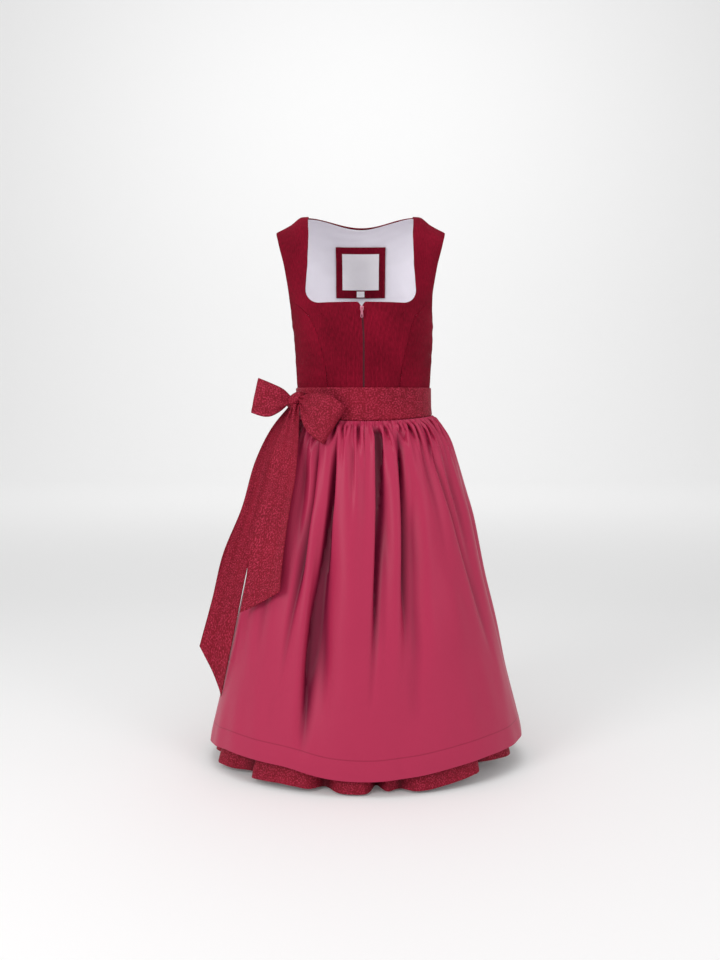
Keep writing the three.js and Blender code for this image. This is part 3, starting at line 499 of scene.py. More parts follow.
# %% Node group: a small floral repeat
def build_floral():
    """A half-drop repeat of flowers, each in a ring of leaves: 1 is pattern and 0 is ground."""
    tree, given, made = new_group(
        "floral repeat",
        [("Vector", "NodeSocketVector", None), ("Repeat", "NodeSocketFloat", 0.026)],
        [("Mask", "NodeSocketFloat")],
    )
    m = partial(maths, tree)
    across, along, _ = parts_of(tree, given.outputs["Vector"])
    across = m("DIVIDE", across, given.outputs["Repeat"])
    along = m("DIVIDE", along, given.outputs["Repeat"])
    column = m("FLOOR", across)
    odd = m("MODULO", m("ABSOLUTE", column), 2.0)
    dropped = m("ADD", along, m("MULTIPLY", odd, 0.5))
    x = m("SUBTRACT", m("FRACT", across), 0.5)
    y = m("SUBTRACT", m("FRACT", dropped), 0.5)
    far = m("SQRT", m("ADD", m("MULTIPLY", x, x), m("MULTIPLY", y, y)))
    angle = m("ARCTAN2", y, x)

    def near(away, width):
        """1 at a line and 0 beyond its width, with a soft end."""
        return m("SUBTRACT", 1.0, m("SMOOTH_MIN", m("DIVIDE", away, width), 1.0, 0.3))

    def ring(petals, radius, swing, width, spin):
        """1 along a wavy ring round the middle of the repeat."""
        wave = m("COSINE", m("ADD", m("MULTIPLY", angle, petals), spin))
        edge = m("ADD", m("MULTIPLY", wave, swing), radius)
        away = m("ABSOLUTE", m("SUBTRACT", far, edge))
        return near(away, width)

    flower = ring(5.0, 0.13, 0.055, 0.035, 0.0)
    leaves = ring(8.0, 0.33, 0.09, 0.04, 1.2)
    heart = near(far, 0.06)
    pattern = m("MAXIMUM", m("MAXIMUM", flower, leaves), heart)
    broken = noise(tree, given.outputs["Vector"], Scale=260.0, Detail=2.0)
    kept = m("MULTIPLY", pattern, m("ADD", m("MULTIPLY", broken, 1.6), -0.1))
    limited = m("MINIMUM", m("MAXIMUM", kept, 0.0), 1.0)
    tree.links.new(limited, made.inputs["Mask"])
    return tree


floral_group = build_floral()
print("node groups:", [group.name for group in bpy.data.node_groups])


# %% A start for every cloth's material
def cloth_material(name, roughness, specular=0.5):
    """A material with its flat map ready: returns its tree, its shader and the map's output."""
    material = bpy.data.materials.new(name)
    material.use_nodes = True
    tree = material.node_tree
    shader = tree.nodes["Principled BSDF"]
    shader.inputs["Roughness"].default_value = roughness
    shader.inputs["Specular IOR Level"].default_value = specular
    flat = node_of(tree, "ShaderNodeUVMap", uv_map="cloth")
    return material, tree, shader, flat.outputs[0]


def placed(tree, group, vector, **values):
    """A node group placed in a material, fed with the flat map."""
    made = tree.nodes.new("ShaderNodeGroup")
    made.node_tree = group
    tree.links.new(vector, made.inputs["Vector"])
    for key, value in values.items():
        made.inputs[key.replace("_", " ")].default_value = value
    return made


def bumped(tree, shader, height, distance):
    """Feeds a height to the shader's normal: distance is its size in metres."""
    bump = node_of(tree, "ShaderNodeBump", Strength=1.0, Distance=distance)
    tree.links.new(height, bump.inputs["Height"])
    tree.links.new(bump.outputs[0], shader.inputs["Normal"])


# %% Corduroy: soft ribs along the cloth, with painted shade in the grooves and painted light on the rib tops
WALE = 0.0025
CORD_RED = (0.22, 0.0045, 0.02, 1)


def build_corduroy(name, colour):
    """Fine ribbed pile, with a light nap on top of each rib; painted shade in the grooves, painted light on
    the rib tops.
    """
    material, tree, shader, flat = cloth_material(name, 0.85, specular=0.06)
    m = partial(maths, tree)
    wander = noise(tree, flat, Scale=60.0, Detail=1.0)
    drift = m("MULTIPLY", m("SUBTRACT", wander, 0.5), 0.0006)
    across = m("ADD", parts_of(tree, flat)[0], drift)
    rib = m("COSINE", m("MULTIPLY", across, 2 * math.pi / WALE))
    height = m("SQRT", m("ADD", m("MULTIPLY", rib, 0.5), 0.501))
    nap = noise(tree, flat, Scale=900.0, Detail=3.0)
    rough_top = m("ADD", height, m("MULTIPLY", nap, 0.35))
    dye = placed(tree, dye_group, flat, Color=colour, Amount=1.1)
    # Painted shade and light: the colour runs from 0.3 times in each groove to 1.2 times on each rib's top.
    rib_light_and_shade_ramp = node_of(tree, "ShaderNodeValToRGB")
    rib_light_and_shade_ramp.color_ramp.elements[0].color = (0.3, 0.28, 0.28, 1)
    rib_light_and_shade_ramp.color_ramp.elements[1].color = (1.2, 1.2, 1.2, 1)
    tree.links.new(height, rib_light_and_shade_ramp.inputs[0])
    shaded = blend(tree, 1.0, dye.outputs["Color"], rib_light_and_shade_ramp.outputs[0], blend_type="MULTIPLY")
    tree.links.new(shaded, shader.inputs["Base Color"])
    bumped(tree, shader, rough_top, 0.0005)
    return material


corduroy = build_corduroy("corduroy", CORD_RED)

# %% Lining: a smooth pale cloth
LINING_WHITE = (0.93, 0.9, 0.97, 1)


def build_lining():
    """A fine plain weave with a slight lustre."""
    material, tree, shader, flat = cloth_material("lining", 0.6, specular=0.3)
    dye = placed(tree, dye_group, flat, Color=LINING_WHITE, Amount=0.05)
    weave = placed(tree, weave_group, flat, Threads_per_metre=1600.0)
    tree.links.new(dye.outputs["Color"], shader.inputs["Base Color"])
    bumped(tree, shader, weave.outputs["Height"], 0.00006)
    return material


lining_cloth = build_lining()

# %% Jacquard: a lighter satin pattern on a darker ground
# How far the painted shade at the bottom of a fold goes towards its dark colour.
PAINTED_SHADE_STRENGTH = 0.8
FLORAL_REPEAT = 0.026


def with_painted_fold_shade(tree, colour, dark):
    """The colour with painted shade, darker towards the bottom of a fold."""
    folds = node_of(tree, "ShaderNodeAttribute", attribute_name="painted_fold_shade")
    return blend(tree, maths(tree, "MULTIPLY", folds.outputs["Fac"], PAINTED_SHADE_STRENGTH), colour, dark)


def build_jacquard(name, ground, pattern):
    """The pattern's threads float on top, so they are lighter, smoother and a little raised; folds get
    painted shade.
    """
    material, tree, shader, flat = cloth_material(name, 0.5, specular=0.13)
    floral = placed(tree, floral_group, flat, Repeat=FLORAL_REPEAT)
    m = partial(maths, tree)
    weave = placed(tree, weave_group, flat, Threads_per_metre=1300.0)
    dye = placed(tree, dye_group, flat, Color=ground, Amount=0.8)
    fleck = noise(tree, flat, noise_dimensions="2D", Scale=330.0)
    flecks = m("MULTIPLY", m("SUBTRACT", fleck, 0.5), 3.2)
    mixed = m("ADD", m("MULTIPLY", floral.outputs["Mask"], 1.2), flecks)
    mixed = m("MAXIMUM", m("MINIMUM", mixed, 1.0), 0.0)
    woven = blend(tree, mixed, dye.outputs["Color"], pattern)
    # Painted shade: near-black red at the bottom of the folds.
    shaded = with_painted_fold_shade(tree, woven, (0.07, 0.002, 0.008, 1))
    tree.links.new(shaded, shader.inputs["Base Color"])
    gloss = m("SUBTRACT", 0.58, m("MULTIPLY", floral.outputs["Mask"], 0.2))
    tree.links.new(gloss, shader.inputs["Roughness"])
    raised = m("ADD", floral.outputs["Mask"], m("MULTIPLY", weave.outputs["Height"], 0.3))
    bumped(tree, shader, raised, 0.00025)
    return material


jacquard = build_jacquard("jacquard", (0.2, 0.005, 0.017, 1), (0.5, 0.03, 0.075, 1))

# %% Satin: a smooth face whose long threads run down the apron
def build_satin():
    """A broad soft gloss, a trace of vertical threads, a dark stitched line at the hem that is partly
    painted shade, and painted shade in folds.
    """
    material, tree, shader, flat = cloth_material("apron_satin", 0.43, specular=0.2)
    dye = placed(tree, dye_group, flat, Color=(0.42, 0.025, 0.078, 1), Amount=0.06)
    m = partial(maths, tree)
    threads = node_of(tree, "ShaderNodeMapping", Scale=(1500.0, 40.0, 1.0))
    tree.links.new(flat, threads.inputs["Vector"])
    streak = noise(tree, threads.outputs[0], Scale=1.0, Detail=2.0)
    # A dark line along the hem's stitching: partly the red thread's colour, partly painted shade in its
    # groove.
    off_line = m("ABSOLUTE", m("ADD", parts_of(tree, flat)[1], -APRON_STITCH * MM))
    line = m("MAXIMUM", m("SUBTRACT", 1.0, m("DIVIDE", off_line, 0.0018)), 0.0)
    sewn = blend(tree, m("MULTIPLY", line, 0.55), dye.outputs["Color"], (0.2, 0.008, 0.03, 1))
    # Painted shade: near-black red at the bottom of the folds.
    shaded = with_painted_fold_shade(tree, sewn, (0.07, 0.0, 0.014, 1))
    tree.links.new(shaded, shader.inputs["Base Color"])
    gloss = m("ADD", m("MULTIPLY", streak, 0.12), 0.36)
    tree.links.new(gloss, shader.inputs["Roughness"])
    bumped(tree, shader, streak, 0.00004)
    return material


apron_satin = build_satin()

# %% Label cloth, zip tape, thread and rose metal
def build_plain(name, colour, roughness, metallic=0.0, threads=1800.0, amount=0.06, depth=0.00005, coat=0.0):
    """A fine weave, or for metal a paint with a slight unevenness."""
    material, tree, shader, flat = cloth_material(name, roughness)
    where = node_of(tree, "ShaderNodeTexCoord").outputs["Object"] if metallic or coat else flat
    dye = placed(tree, dye_group, where, Color=colour, Amount=amount)
    weave = placed(tree, weave_group, where, Threads_per_metre=threads)
    tree.links.new(dye.outputs["Color"], shader.inputs["Base Color"])
    shader.inputs["Metallic"].default_value = metallic
    shader.inputs["Coat Weight"].default_value = coat
    bumped(tree, shader, weave.outputs["Height"], depth)
    return material


label_cloth = build_plain("label_cloth", (0.95, 0.93, 0.96, 1), 0.55)
tape_cloth = build_plain("zip_tape", (0.12, 0.01, 0.022, 1), 0.6, threads=900.0, depth=0.00015)
red_thread = build_plain("red_thread", (0.23, 0.014, 0.035, 1), 0.5, threads=2500.0)
rose_metal = build_plain(
    "rose_metal", (0.6, 0.19, 0.27, 1), 0.28, metallic=0.55, threads=300.0, depth=0.00001, coat=0.4
)
print("materials:", [material.name for material in bpy.data.materials])


def finished(piece, material, slot, *nodes, body="garment"):
    """Gives a piece its material and its body, and hides the solids that it stands for; slot is not used."""
    piece.data.materials.clear()
    piece.data.materials.append(material)
    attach(piece, body)
    if nodes:
        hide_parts(*nodes)
    return piece

# %% [markdown]
# ## The bodice
# The bodice is sewn from seven panels of corduroy. A seam pulls the cloth down into a groove, and the
# turned-in edges below it lift a low ridge on either side. Both are shaped in the cloth itself, because
# they catch the light even from a few steps away, while the ribs of the pile are fine enough to be left to
# the material.


# %% Seams and soft wear in a panel
def seam_groove(away, deep=0.9, ridge=0.35):
    """The groove at a seam and the ridge of its allowance, for a distance in millimetres from the seam."""
    return ridge * hump(away - 6.5, 4.0) - deep * hump(away, 1.5)


def edge_roll(away, radius=1.1):
    """Rounds a finished edge over to the inside."""
    near = np.clip(1 - away / radius, 0, 1)
    return -radius * (1 - np.sqrt(1 - near**2)) * 0.75


def across_mm(turn, rise, from_turn):
    """The distance along the torso between two turns at one height, in millimetres."""
    level = level_of(rise)
    half, front = torso_half(level), torso_front(level)
    middle = np.radians((turn + from_turn) / 2)
    per_radian = np.sqrt((half * np.cos(middle)) ** 2 + (front * np.sin(middle)) ** 2)
    return np.abs(np.radians(turn - from_turn)) * per_radian


def torso_flat(origin_turn):
    """The flat map of a bodice panel: millimetres across from a line of its own, and the rise."""
    def flat(turn, rise):
        side = np.sign(signed_between(turn, origin_turn))
        return np.stack([side * across_mm(turn, rise, origin_turn), rise], axis=-1)
    return flat


def flat_around(radius):
    """The flat map of a cloth that runs round the body, at its mean radius in millimetres."""
    return lambda turn, z: np.stack([np.radians(turn) * radius, z], axis=-1)


def turn_at_x(x, level):
    """The turn at which the torso's ring is so far from the middle."""
    return np.degrees(np.arcsin(np.clip(x / torso_half(level), -1, 1)))


def seam_allowance(gap, rise):
    """A gap in millimetres as degrees of turn."""
    return np.degrees(gap / torso_half(level_of(rise)))


def front_edge_turn(rise):
    """Where the front panel ends: at its curved seam, and above that at the armhole."""
    level = level_of(rise)
    return np.where(level < front_seam["z"].max(), front_seam_turn(level), armhole_turn(level))


# %% The front panel with its strap
WAIST_SHARE = 0.62
CORNER_ARC = math.radians(48)
CORNER_X = NECK_CORNER - CORNER_RADIUS + CORNER_RADIUS * math.sin(CORNER_ARC)
NOTCH_HALF = 5.5
FACING_EDGE, FACING_SEAM, NECK_SEAM = 12.5, 15.5, 8
ZIP_EDGE = 1.7
ZIP_TO_CORNER, CORNER_TO_EDGE, WAIST_TO_NECK, NECK_TO_CAP = 44, 24, 84, 110


def front_place(i, j, inset=0.0, seam=SEAM_GAP / 2, edge=front_edge_turn, zip_half=ZIP_EDGE):
    """Turn and rise of the front's grid: zip to neck corner to edge, and waist to neckline to shoulder."""
    radius = CORNER_RADIUS + inset
    corner_x = NECK_CORNER - CORNER_RADIUS + radius * math.sin(CORNER_ARC)
    corner_z = NECKLINE + CORNER_RADIUS - radius * math.cos(CORNER_ARC)
    s = i / ZIP_TO_CORNER
    t = j / WAIST_TO_NECK
    neck_x = zip_half + (corner_x - zip_half) * np.clip(s, 0, 1)
    arc_x = np.clip(neck_x - (NECK_CORNER - CORNER_RADIUS), 0, radius)
    top = NECKLINE + CORNER_RADIUS - np.sqrt(radius**2 - arc_x**2)
    top = top - NOTCH * np.clip(1 - (neck_x - zip_half) / NOTCH_HALF, 0, 1)
    top = np.where(s > 1, corner_z, top)
    above = (j - WAIST_TO_NECK) / NECK_TO_CAP
    below_neck = WAIST_SEAM + (top - WAIST_SEAM) * np.minimum(t, 1)
    rise = np.where(t <= 1, below_neck, corner_z + (CAP_TOP - corner_z) * above)
    level = level_of(rise)
    outer = edge(rise) - seam_allowance(seam, rise)
    share = np.clip((rise - WAIST_SEAM) / (corner_z - WAIST_SEAM), 0, 1)
    corner_edge = edge(np.array(corner_z)) - seam_allowance(seam, corner_z)
    corner_share = turn_at_x(corner_x, corner_z) / corner_edge
    below = outer * (WAIST_SHARE + (corner_share - WAIST_SHARE) * share)
    arc_side = np.sqrt(np.maximum(radius**2 - np.clip(NECKLINE + CORNER_RADIUS - rise, 0, radius) ** 2, 0))
    round_side = NECK_CORNER - CORNER_RADIUS + arc_side
    strap_side = np.minimum(neck_side_x(level), NECK_CORNER) + inset
    side_x = np.where(rise < NECKLINE + CORNER_RADIUS, round_side, strap_side)
    corner_turn = np.where(t <= 1, below, turn_at_x(side_x, level))
    zip_turn = turn_at_x(zip_half, level)
    towards_neck = turn_at_x(neck_x, level)
    straight = zip_turn + (corner_turn - zip_turn) * np.clip(s, 0, 1)
    near_top = np.where(t <= 1, eased((t - 0.8) / 0.2), 0)
    inside = straight + (towards_neck - straight) * near_top
    beyond = corner_turn + (outer - corner_turn) * np.clip((i - ZIP_TO_CORNER) / CORNER_TO_EDGE, 0, 1)
    return np.where(s <= 1, inside, beyond), rise


def keep_front(i, j):
    """The front's cells: none above the neckline between the zip and the strap."""
    return j < WAIST_TO_NECK or i >= ZIP_TO_CORNER


def front_relief(turn, rise):
    """The front's seams, zip facing and soft folds, in millimetres outwards."""
    turn = np.abs(turn)
    level = level_of(rise)
    x = torso_half(level) * np.sin(np.radians(turn))
    to_seam = across_mm(front_edge_turn(rise), rise, turn)
    seam_top = front_seam["z"].max()
    out = seam_groove(to_seam) * eased((seam_top - 8 - level) / 30)
    out += edge_roll(to_seam, 0.8) * (level >= seam_top)
    facing = 0.6 * hump(x - FACING_EDGE, 1.8) - 0.5 * hump(x - FACING_SEAM, 1.2)
    out += facing - 0.6 * hump(x - ZIP_EDGE, 1.4)
    out += edge_roll(np.where(x < CORNER_X, np.abs(rise - NECKLINE), 9))
    out += 0.25 * hump(rise - NECKLINE + NECK_SEAM, 2.5) * (x < NECK_CORNER)
    out += 0.8 * unevenness(x / 90, rise / 70, seed=4) * eased((x - 10) / 25) * eased(to_seam / 12)
    return out


def on_side(sign, across, place):
    """The same piece on either side of the dress, with its faces still outwards."""
    def placed_on(i, j):
        turn, rise = place(i if sign > 0 else across - i, j)
        return sign * turn, rise
    return placed_on


def front_cloth(name, sign, place, thick, **settings):
    """A cloth on one side of the front."""
    across = ZIP_TO_CORNER + CORNER_TO_EDGE
    return cloth(
        name, across, WAIST_TO_NECK + NECK_TO_CAP, on_side(sign, across, place), torso_point, thick,
        flat=torso_flat(0), keep=lambda i, j: keep_front(i if sign > 0 else across - 1 - i, j), **settings,
    )


SIDES = (("right", 1), ("left", -1))
for side, sign in SIDES:
    panel = front_cloth(f"front_panel_{side}", sign, front_place, BODICE_CLOTH, out=front_relief)
    finished(panel, corduroy, "corduroy", f"bodice_front_{side}")
print("front panels:", len(panel.data.polygons), "faces each")


# %% Side panels
def side_place(rows_from, rows_to, seam_at, across, up, behind):
    """Turn and rise of a side panel's grid, from its curved seam to the side seam or armhole."""
    def place(i, j):
        rise = rows_from + (rows_to - rows_from) * j / up
        gap = seam_allowance(SEAM_GAP / 2, rise)
        start = seam_at(level_of(rise)) + gap
        end = armhole_turn(level_of(rise)) - gap
        share = (across - i if behind else i) / across
        turn = start + (end - start) * share
        return (180 - turn if behind else turn), rise
    return place


def side_relief(seam_at, behind):
    """The seams on both sides of a side panel, and a little slack under the arm."""
    def relief(turn, rise):
        turn = np.abs(turn)
        turn = 180 - turn if behind else turn
        level = level_of(rise)
        to_seam = across_mm(turn, rise, seam_at(level))
        to_side = across_mm(turn, rise, armhole_turn(level))
        seam_top = ARMPIT + 20 if not behind else back_seam["z"].max() - 10
        out = seam_groove(to_seam) * eased((seam_top - rise) / 30)
        side_seam = seam_groove(to_side) * eased((ARMPIT - rise) / 20)
        out = out + np.where(rise < ARMPIT, side_seam, edge_roll(to_side, 0.8))
        slack = 1.1 * unevenness(turn / 60, rise / 55, seed=9 if behind else 5)
        return out + slack * eased(to_seam / 14) * eased(to_side / 14)
    return relief


SIDE_ACROSS, SIDE_UP = 36, 90
for behind, part, top, seam_at in (
    (False, "side_front", -163.6, front_seam_turn), (True, "side_back", -96, back_seam_turn),
):
    for side, sign in SIDES:
        place = side_place(WAIST_SEAM, top, seam_at, SIDE_ACROSS, SIDE_UP, behind)
        panel = cloth(
            f"{part}_panel_{side}", SIDE_ACROSS, SIDE_UP, on_side(sign, SIDE_ACROSS, place),
            torso_point, BODICE_CLOTH, out=side_relief(seam_at, behind),
            flat=torso_flat(sign * (120 if behind else 60)),
        )
        finished(panel, corduroy, "corduroy", f"bodice_{part}_{side}")
print("side panels made")


# %% The back with both straps
def back_edge_turn(rise):
    """Where the back panel ends: at its curved seam, and above that at the armhole."""
    level = level_of(rise)
    return np.where(level < back_seam["z"].max(), back_seam_turn(level), armhole_turn(level))


BACK_ACROSS, BACK_UP = 76, 150
SHOULDER_SHIFT = 0.3


def back_place(i, j, edge=back_edge_turn, rim=SEAM_GAP / 2):
    """Turn and rise of the back's grid."""
    rise = WAIST_SEAM + (CAP_TOP - WAIST_SEAM) * j / BACK_UP
    share = 2 * i / BACK_ACROSS - 1
    return 180 + (edge(rise) - seam_allowance(rim, rise)) * share, rise


def back_point(turn, rise):
    """The back's outer face, just behind the shoulder seam."""
    return torso_point(turn, rise) + np.array([0, SHOULDER_SHIFT, 0])


def back_relief(turn, rise):
    """The back's seams and soft folds."""
    level = level_of(rise)
    from_middle = np.abs(180 - turn)
    to_edge = across_mm(from_middle, rise, back_edge_turn(rise))
    seamed = level < back_seam["z"].max()
    out = np.where(seamed, seam_groove(to_edge), edge_roll(to_edge))
    out = out + edge_roll(np.abs(CAP_TOP - rise))
    return out + 0.9 * unevenness((turn - 180) / 60, rise / 90, seed=12) * eased(to_edge / 14)


panel = cloth(
    "back_panel", BACK_ACROSS, BACK_UP, back_place, back_point, BODICE_CLOTH, out=back_relief,
    flat=torso_flat(180),
)
finished(panel, corduroy, "corduroy", "bodice_back")
print("back panel:", len(panel.data.polygons), "faces")

# %% [markdown]
# ## The lining and the label
# A pale lining shows through the neck. It stops a few millimetres short of every edge, so that a line of
# corduroy stays in sight above it. On its back sits a corduroy square with a bare woven label and a small
# size tab.

# %% Lining
LINING_SHORT = 3
LINING_FROM_ZIP = 6
LINING_LIFT = -(BODICE_CLOTH + LINING_GAP)


def lining_edge(rise):
    """The lining's edge at the armhole and side."""
    reach = np.where(rise < ARMPIT + 1, np.degrees(LINING_SHORT / torso_half(rise)) - 0.15, 0)
    return armhole_turn(level_of(rise)) + reach


def lining_relief(turn, rise):
    """Soft slack in the lining."""
    return 0.5 * unevenness(turn / 40, rise / 60, seed=21)


def lining_front_place(i, j):
    """Turn and rise of the lining's front, short of the front's edges."""
    return front_place(i, j, LINING_SHORT, LINING_SHORT, lining_edge, ZIP_HALF + LINING_FROM_ZIP)


for side, sign in SIDES:
    name = f"lining_front_{side}_cloth"
    lining = front_cloth(name, sign, lining_front_place, LINING_CLOTH, lift=LINING_LIFT)
    finished(lining, lining_cloth, "lining", f"lining_front_{side}")


def back_lining_point(turn, rise):
    """The back's form, a little lower at the nape so that its edge stays hidden."""
    across = torso_half(level_of(rise)) * np.sin(np.radians(turn))
    near_neck = np.clip((NECK_HALF - np.abs(across)) / 30, 0, 1)
    lower = near_neck * LINING_SHORT * 1.6 * np.maximum(0, rise) / CAP_TOP
    return back_point(turn, rise - lower)


lining = cloth(
    "lining_back_cloth", BACK_ACROSS, BACK_UP,
    lambda i, j: back_place(i, j, lining_edge, LINING_SHORT), back_lining_point, LINING_CLOTH,
    out=lining_relief, flat=torso_flat(180), lift=LINING_LIFT,
)
finished(lining, lining_cloth, "lining", "lining_back")

# %% Corduroy square, label and size tab
PATCH_CLOTH = 1.2
LABEL_CLOTH = 0.8
PATCH_LIFT = LINING_LIFT - LINING_CLOTH - LINING_GAP
LABEL_GAP = 0.5
LABEL_LIFT = PATCH_LIFT - PATCH_CLOTH - LABEL_GAP


def back_inside_point(minus_x, height):
    """The back's form by its distance from the middle and its height."""
    bend = np.arcsin(np.clip(1 + height / SHOULDER_CAP, 0, 1))
    rise = np.where(height < -SHOULDER_CAP, height, SHOULDER_CAP * bend / cap_reach(minus_x) - SHOULDER_CAP)
    turn = 180 + np.degrees(np.arcsin(minus_x / torso_half(level_of(rise))))
    return torso_point(turn, rise)


def badge(name, half, low, high, lift, thick, across=48, up=48, puff=0.35):
    """A small sewn-on cloth: its edge is pressed down by the stitches and its middle is a little full."""
    def place(i, j):
        return half * (2 * i / across - 1), low + (high - low) * j / up
    def out(u, v):
        to_edge = np.minimum(half - np.abs(u), np.minimum(v - low, high - v))
        return puff * hump(to_edge - 2.2, 1.0) + 0.5 * puff * hump(to_edge, 0.8)
    return cloth(name, across, up, place, back_inside_point, thick, out=out, lift=lift)


patch = badge("label_square_cloth", 53.5, -153, -45, PATCH_LIFT, PATCH_CLOTH)
finished(patch, corduroy, "corduroy", "label_square")
label = badge("label_cloth_piece", 40, -136, -58, LABEL_LIFT, LABEL_CLOTH, puff=0.2)
finished(label, label_cloth, "label", "label")
tab = badge("size_tab_cloth", 8.5, -151, -138.5, LABEL_LIFT, LABEL_CLOTH, 16, 12, puff=0.1)
finished(tab, label_cloth, "label", "size_tab")
print("label square:", round(patch.dimensions.x * 1000), "mm wide")

# %% [markdown]
# ## The skirt and the apron
# Both are straight lengths of cloth gathered into the waist. A gather starts as a tight pleat under the
# band and opens into a broad fold lower down. The folds and the narrow dark tucks are tables, because each
# one in the real apron has a place of its own. The small gathers between them are one wave whose pleats
# are uneven. The hems hang at uneven heights too, so a last pair of tables says how far each lifts.

# %% Folds of the apron and flutes of the skirt
apron_folds = table(
    "waist hem depth width begins deepest ends",
    (-98, -84, 11, 6, -430, -620, -1090), (-76, -62, 9, 5, -430, -600, -1000),
    (-58, -46, 12, 5, -430, -560, -980), (-41, -27, 14, 4.5, -425, -540, -900),
    (-20.6, -18, 25, 4.6, -422, -840, -1092), (-11, -5, -5, 7, -430, -700, -1090),
    (1, -1, 6, 4, -425, -520, -760), (10.6, 5, 15, 3.5, -422, -560, -960),
    (29, 15, 17, 4.5, -422, -640, -1090), (40, 42, 8, 4, -425, -500, -800),
    (46, 30, -5, 8, -450, -800, -1090), (58, 66, 10, 5, -430, -560, -1000),
    (78, 84, 11, 6, -430, -680, -1090), (98, 98, 10, 5, -430, -600, -1060),
)
skirt_flutes = table(
    "turn depth before after",
    (-78, 22, 7, 5), (-49, 32, 10, 3), (-16, 30, 3, 5), (4, 46, 2.5, 2.2), (12.5, 24, 5, 3),
    (48, 32, 3, 10), (74, 24, 5, 7), (96, 26, 7, 5), (117, 32, 5, 8), (137, 34, 7, 5),
    (156, 28, 8, 4), (176, 36, 5, 8), (199, 32, 8, 5), (221, 34, 5, 8), (243, 28, 7, 5),
    (263, 28, 6, 6),
)
gathers = table(
    "z size",
    (-398, 0), (-403, 0.5), (-412, 2.2), (-426, 3.4), (-440, 3.0), (-465, 1.6), (-500, 0.7),
    (-560, 0.2), (-620, 0),
)
skirt_inset = table(
    "z covered open",
    (-385, 0, 0), (-400, 3.5, 3.5), (-412, 9, 6.5), (-426, 13, 7), (-460, 20, 8), (-560, 30, 10),
    (-700, 33, 11), (-850, 34, 11), (-960, 31, 9), (-1030, 22, 6), (-1097, 10, 4), (-1116, 8, 3),
)
apron_hem_lift = table(
    "turn lift",
    (-108, 16), (-90, 14), (-72, 22), (-54, 30), (-31, 28), (-12, 11), (0, 8), (17, 15), (35, 26),
    (50, 31), (108, 30),
)
skirt_hem_lift = table(
    "turn lift",
    (-180, 0), (-90, 9), (-50, 6), (-31, 9), (-10, 0), (17, 2), (35, 13), (50, 24), (75, 29),
    (100, 26), (180, 0),
)
apron_tucks = table(
    "waist hem depth width begins deepest ends",
    (-30, -36, 18, 2.0, -425, -490, -1020), (-18, -24, 24, 1.3, -423, -470, -1080),
    (9.9, -0.7, 32, 1.4, -420, -450, -1000), (24.5, 11, 32, 1.9, -421, -455, -960),
    (-7, -9, 6, 1.5, -425, -480, -640), (45, 70, 10, 2.6, -425, -500, -1000),
    (-23, -23, 20, 2.4, -600, -900, -1094),
)
SKIRT_ROOM = 4
COVERED_TO, COVERED_RUN = 100, 16
GATHERS_FADE = 38.0
apron_lift = smooth_curve(apron_hem_lift, "turn", "lift")
skirt_lift = smooth_curve(skirt_hem_lift, "turn", "lift")
gather_size = smooth_curve(gathers, "z", "size")
covered_inset, open_inset = curves(skirt_inset, "z", "covered open")


def gather_wave(turn, z):
    """The even wave of gathers that the solid model has."""
    return gather_size(z) * np.cos(np.pi * turn / GATHER_STEP)


def fine_gathers(turn, z, seed):
    """Uneven pleats between the even ones, which die out a hand's breadth below the band."""
    fading = np.exp((z - BAND_FRONT) / GATHERS_FADE)
    drift = unevenness(turn / 30, z / 200, seed) * 2.4
    pleats = np.sin(np.radians((turn + drift) * 190)) + 0.6 * np.sin(np.radians((turn - drift) * 97 + 40))
    strength = 0.55 + 0.45 * unevenness(turn / 18, z / 300, seed + 1)
    return 1.1 * pleats * strength * np.clip(fading, 0, 1)


def band_edge(turn):
    """The lower edge of the waistband, a little higher at the sides."""
    aside = np.clip(np.abs(signed_between(turn, 0)), 0, 90)
    return BAND_FRONT + (BAND_SIDE - BAND_FRONT) * np.sin(np.radians(aside)) ** 2


def folded(folds, turn, z):
    """How far a table of folds sets the apron back."""
    down = np.clip((BAND_FRONT - z) / (BAND_FRONT - APRON_HEM), 0, 1)
    total = 0
    for waist, hem, depth, width, begins, deepest, ends in zip(*folds.values()):
        rising = np.clip((begins - z) / (begins - deepest), 0, 1)
        falling = np.clip((z - ends) / (deepest - ends), 0, 1)
        strength = eased(np.minimum(rising, falling))
        total = total + depth * strength * hump(turn - (waist + (hem - waist) * down), width)
    return total


def tucked(turn, z, tucks):
    """The narrow tucks, no deeper than the room between the apron and the skirt."""
    broad = folded(apron_folds, turn, z)
    room = np.maximum(covered_inset(z) - SKIRT_ROOM, np.maximum(broad, 0))
    return np.minimum(broad + tucks, room) - broad


def apron_point(turn, z):
    """A point of the apron's outer face."""
    down = np.clip((BAND_FRONT - z) / (BAND_FRONT - APRON_HEM), 0, 1)
    point = flare_point(turn, z, gather_wave(turn, z) - folded(apron_folds, turn, z))
    point[..., 2] += apron_lift(turn) * down
    return point


def skirt_point(turn, z):
    """A point of the skirt's outer face."""
    covered = 1 - eased((np.abs(signed_between(turn, 0)) - COVERED_TO) / COVERED_RUN)
    down = np.clip((SKIRT_FLUTE_TOP - z) / (SKIRT_FLUTE_TOP - SKIRT_HEM), 0, 1)
    out = gather_wave(turn, z) * (1 - covered)
    out = out - covered_inset(z) * covered - open_inset(z) * (1 - covered)
    for flute_turn, depth, before, after in zip(*skirt_flutes.values()):
        past = signed_between(turn, flute_turn)
        out = out - depth * down**1.4 * hump(past, np.where(past < 0, before, after))
    point = flare_point(turn, z, out)
    point[..., 2] += skirt_lift(signed_between(turn, 0)) * down
    return point


print("apron folds:", len(apron_folds["depth"]), "and skirt flutes:", len(skirt_flutes["depth"]))


# %% Skirt front and back
SKIRT_CROWDING = 1.5
SKIRT_RADIUS = 360
SIDE_SEAM_GAP = 0.12
OPEN_FROM = 104
HEM_SEAM = 34


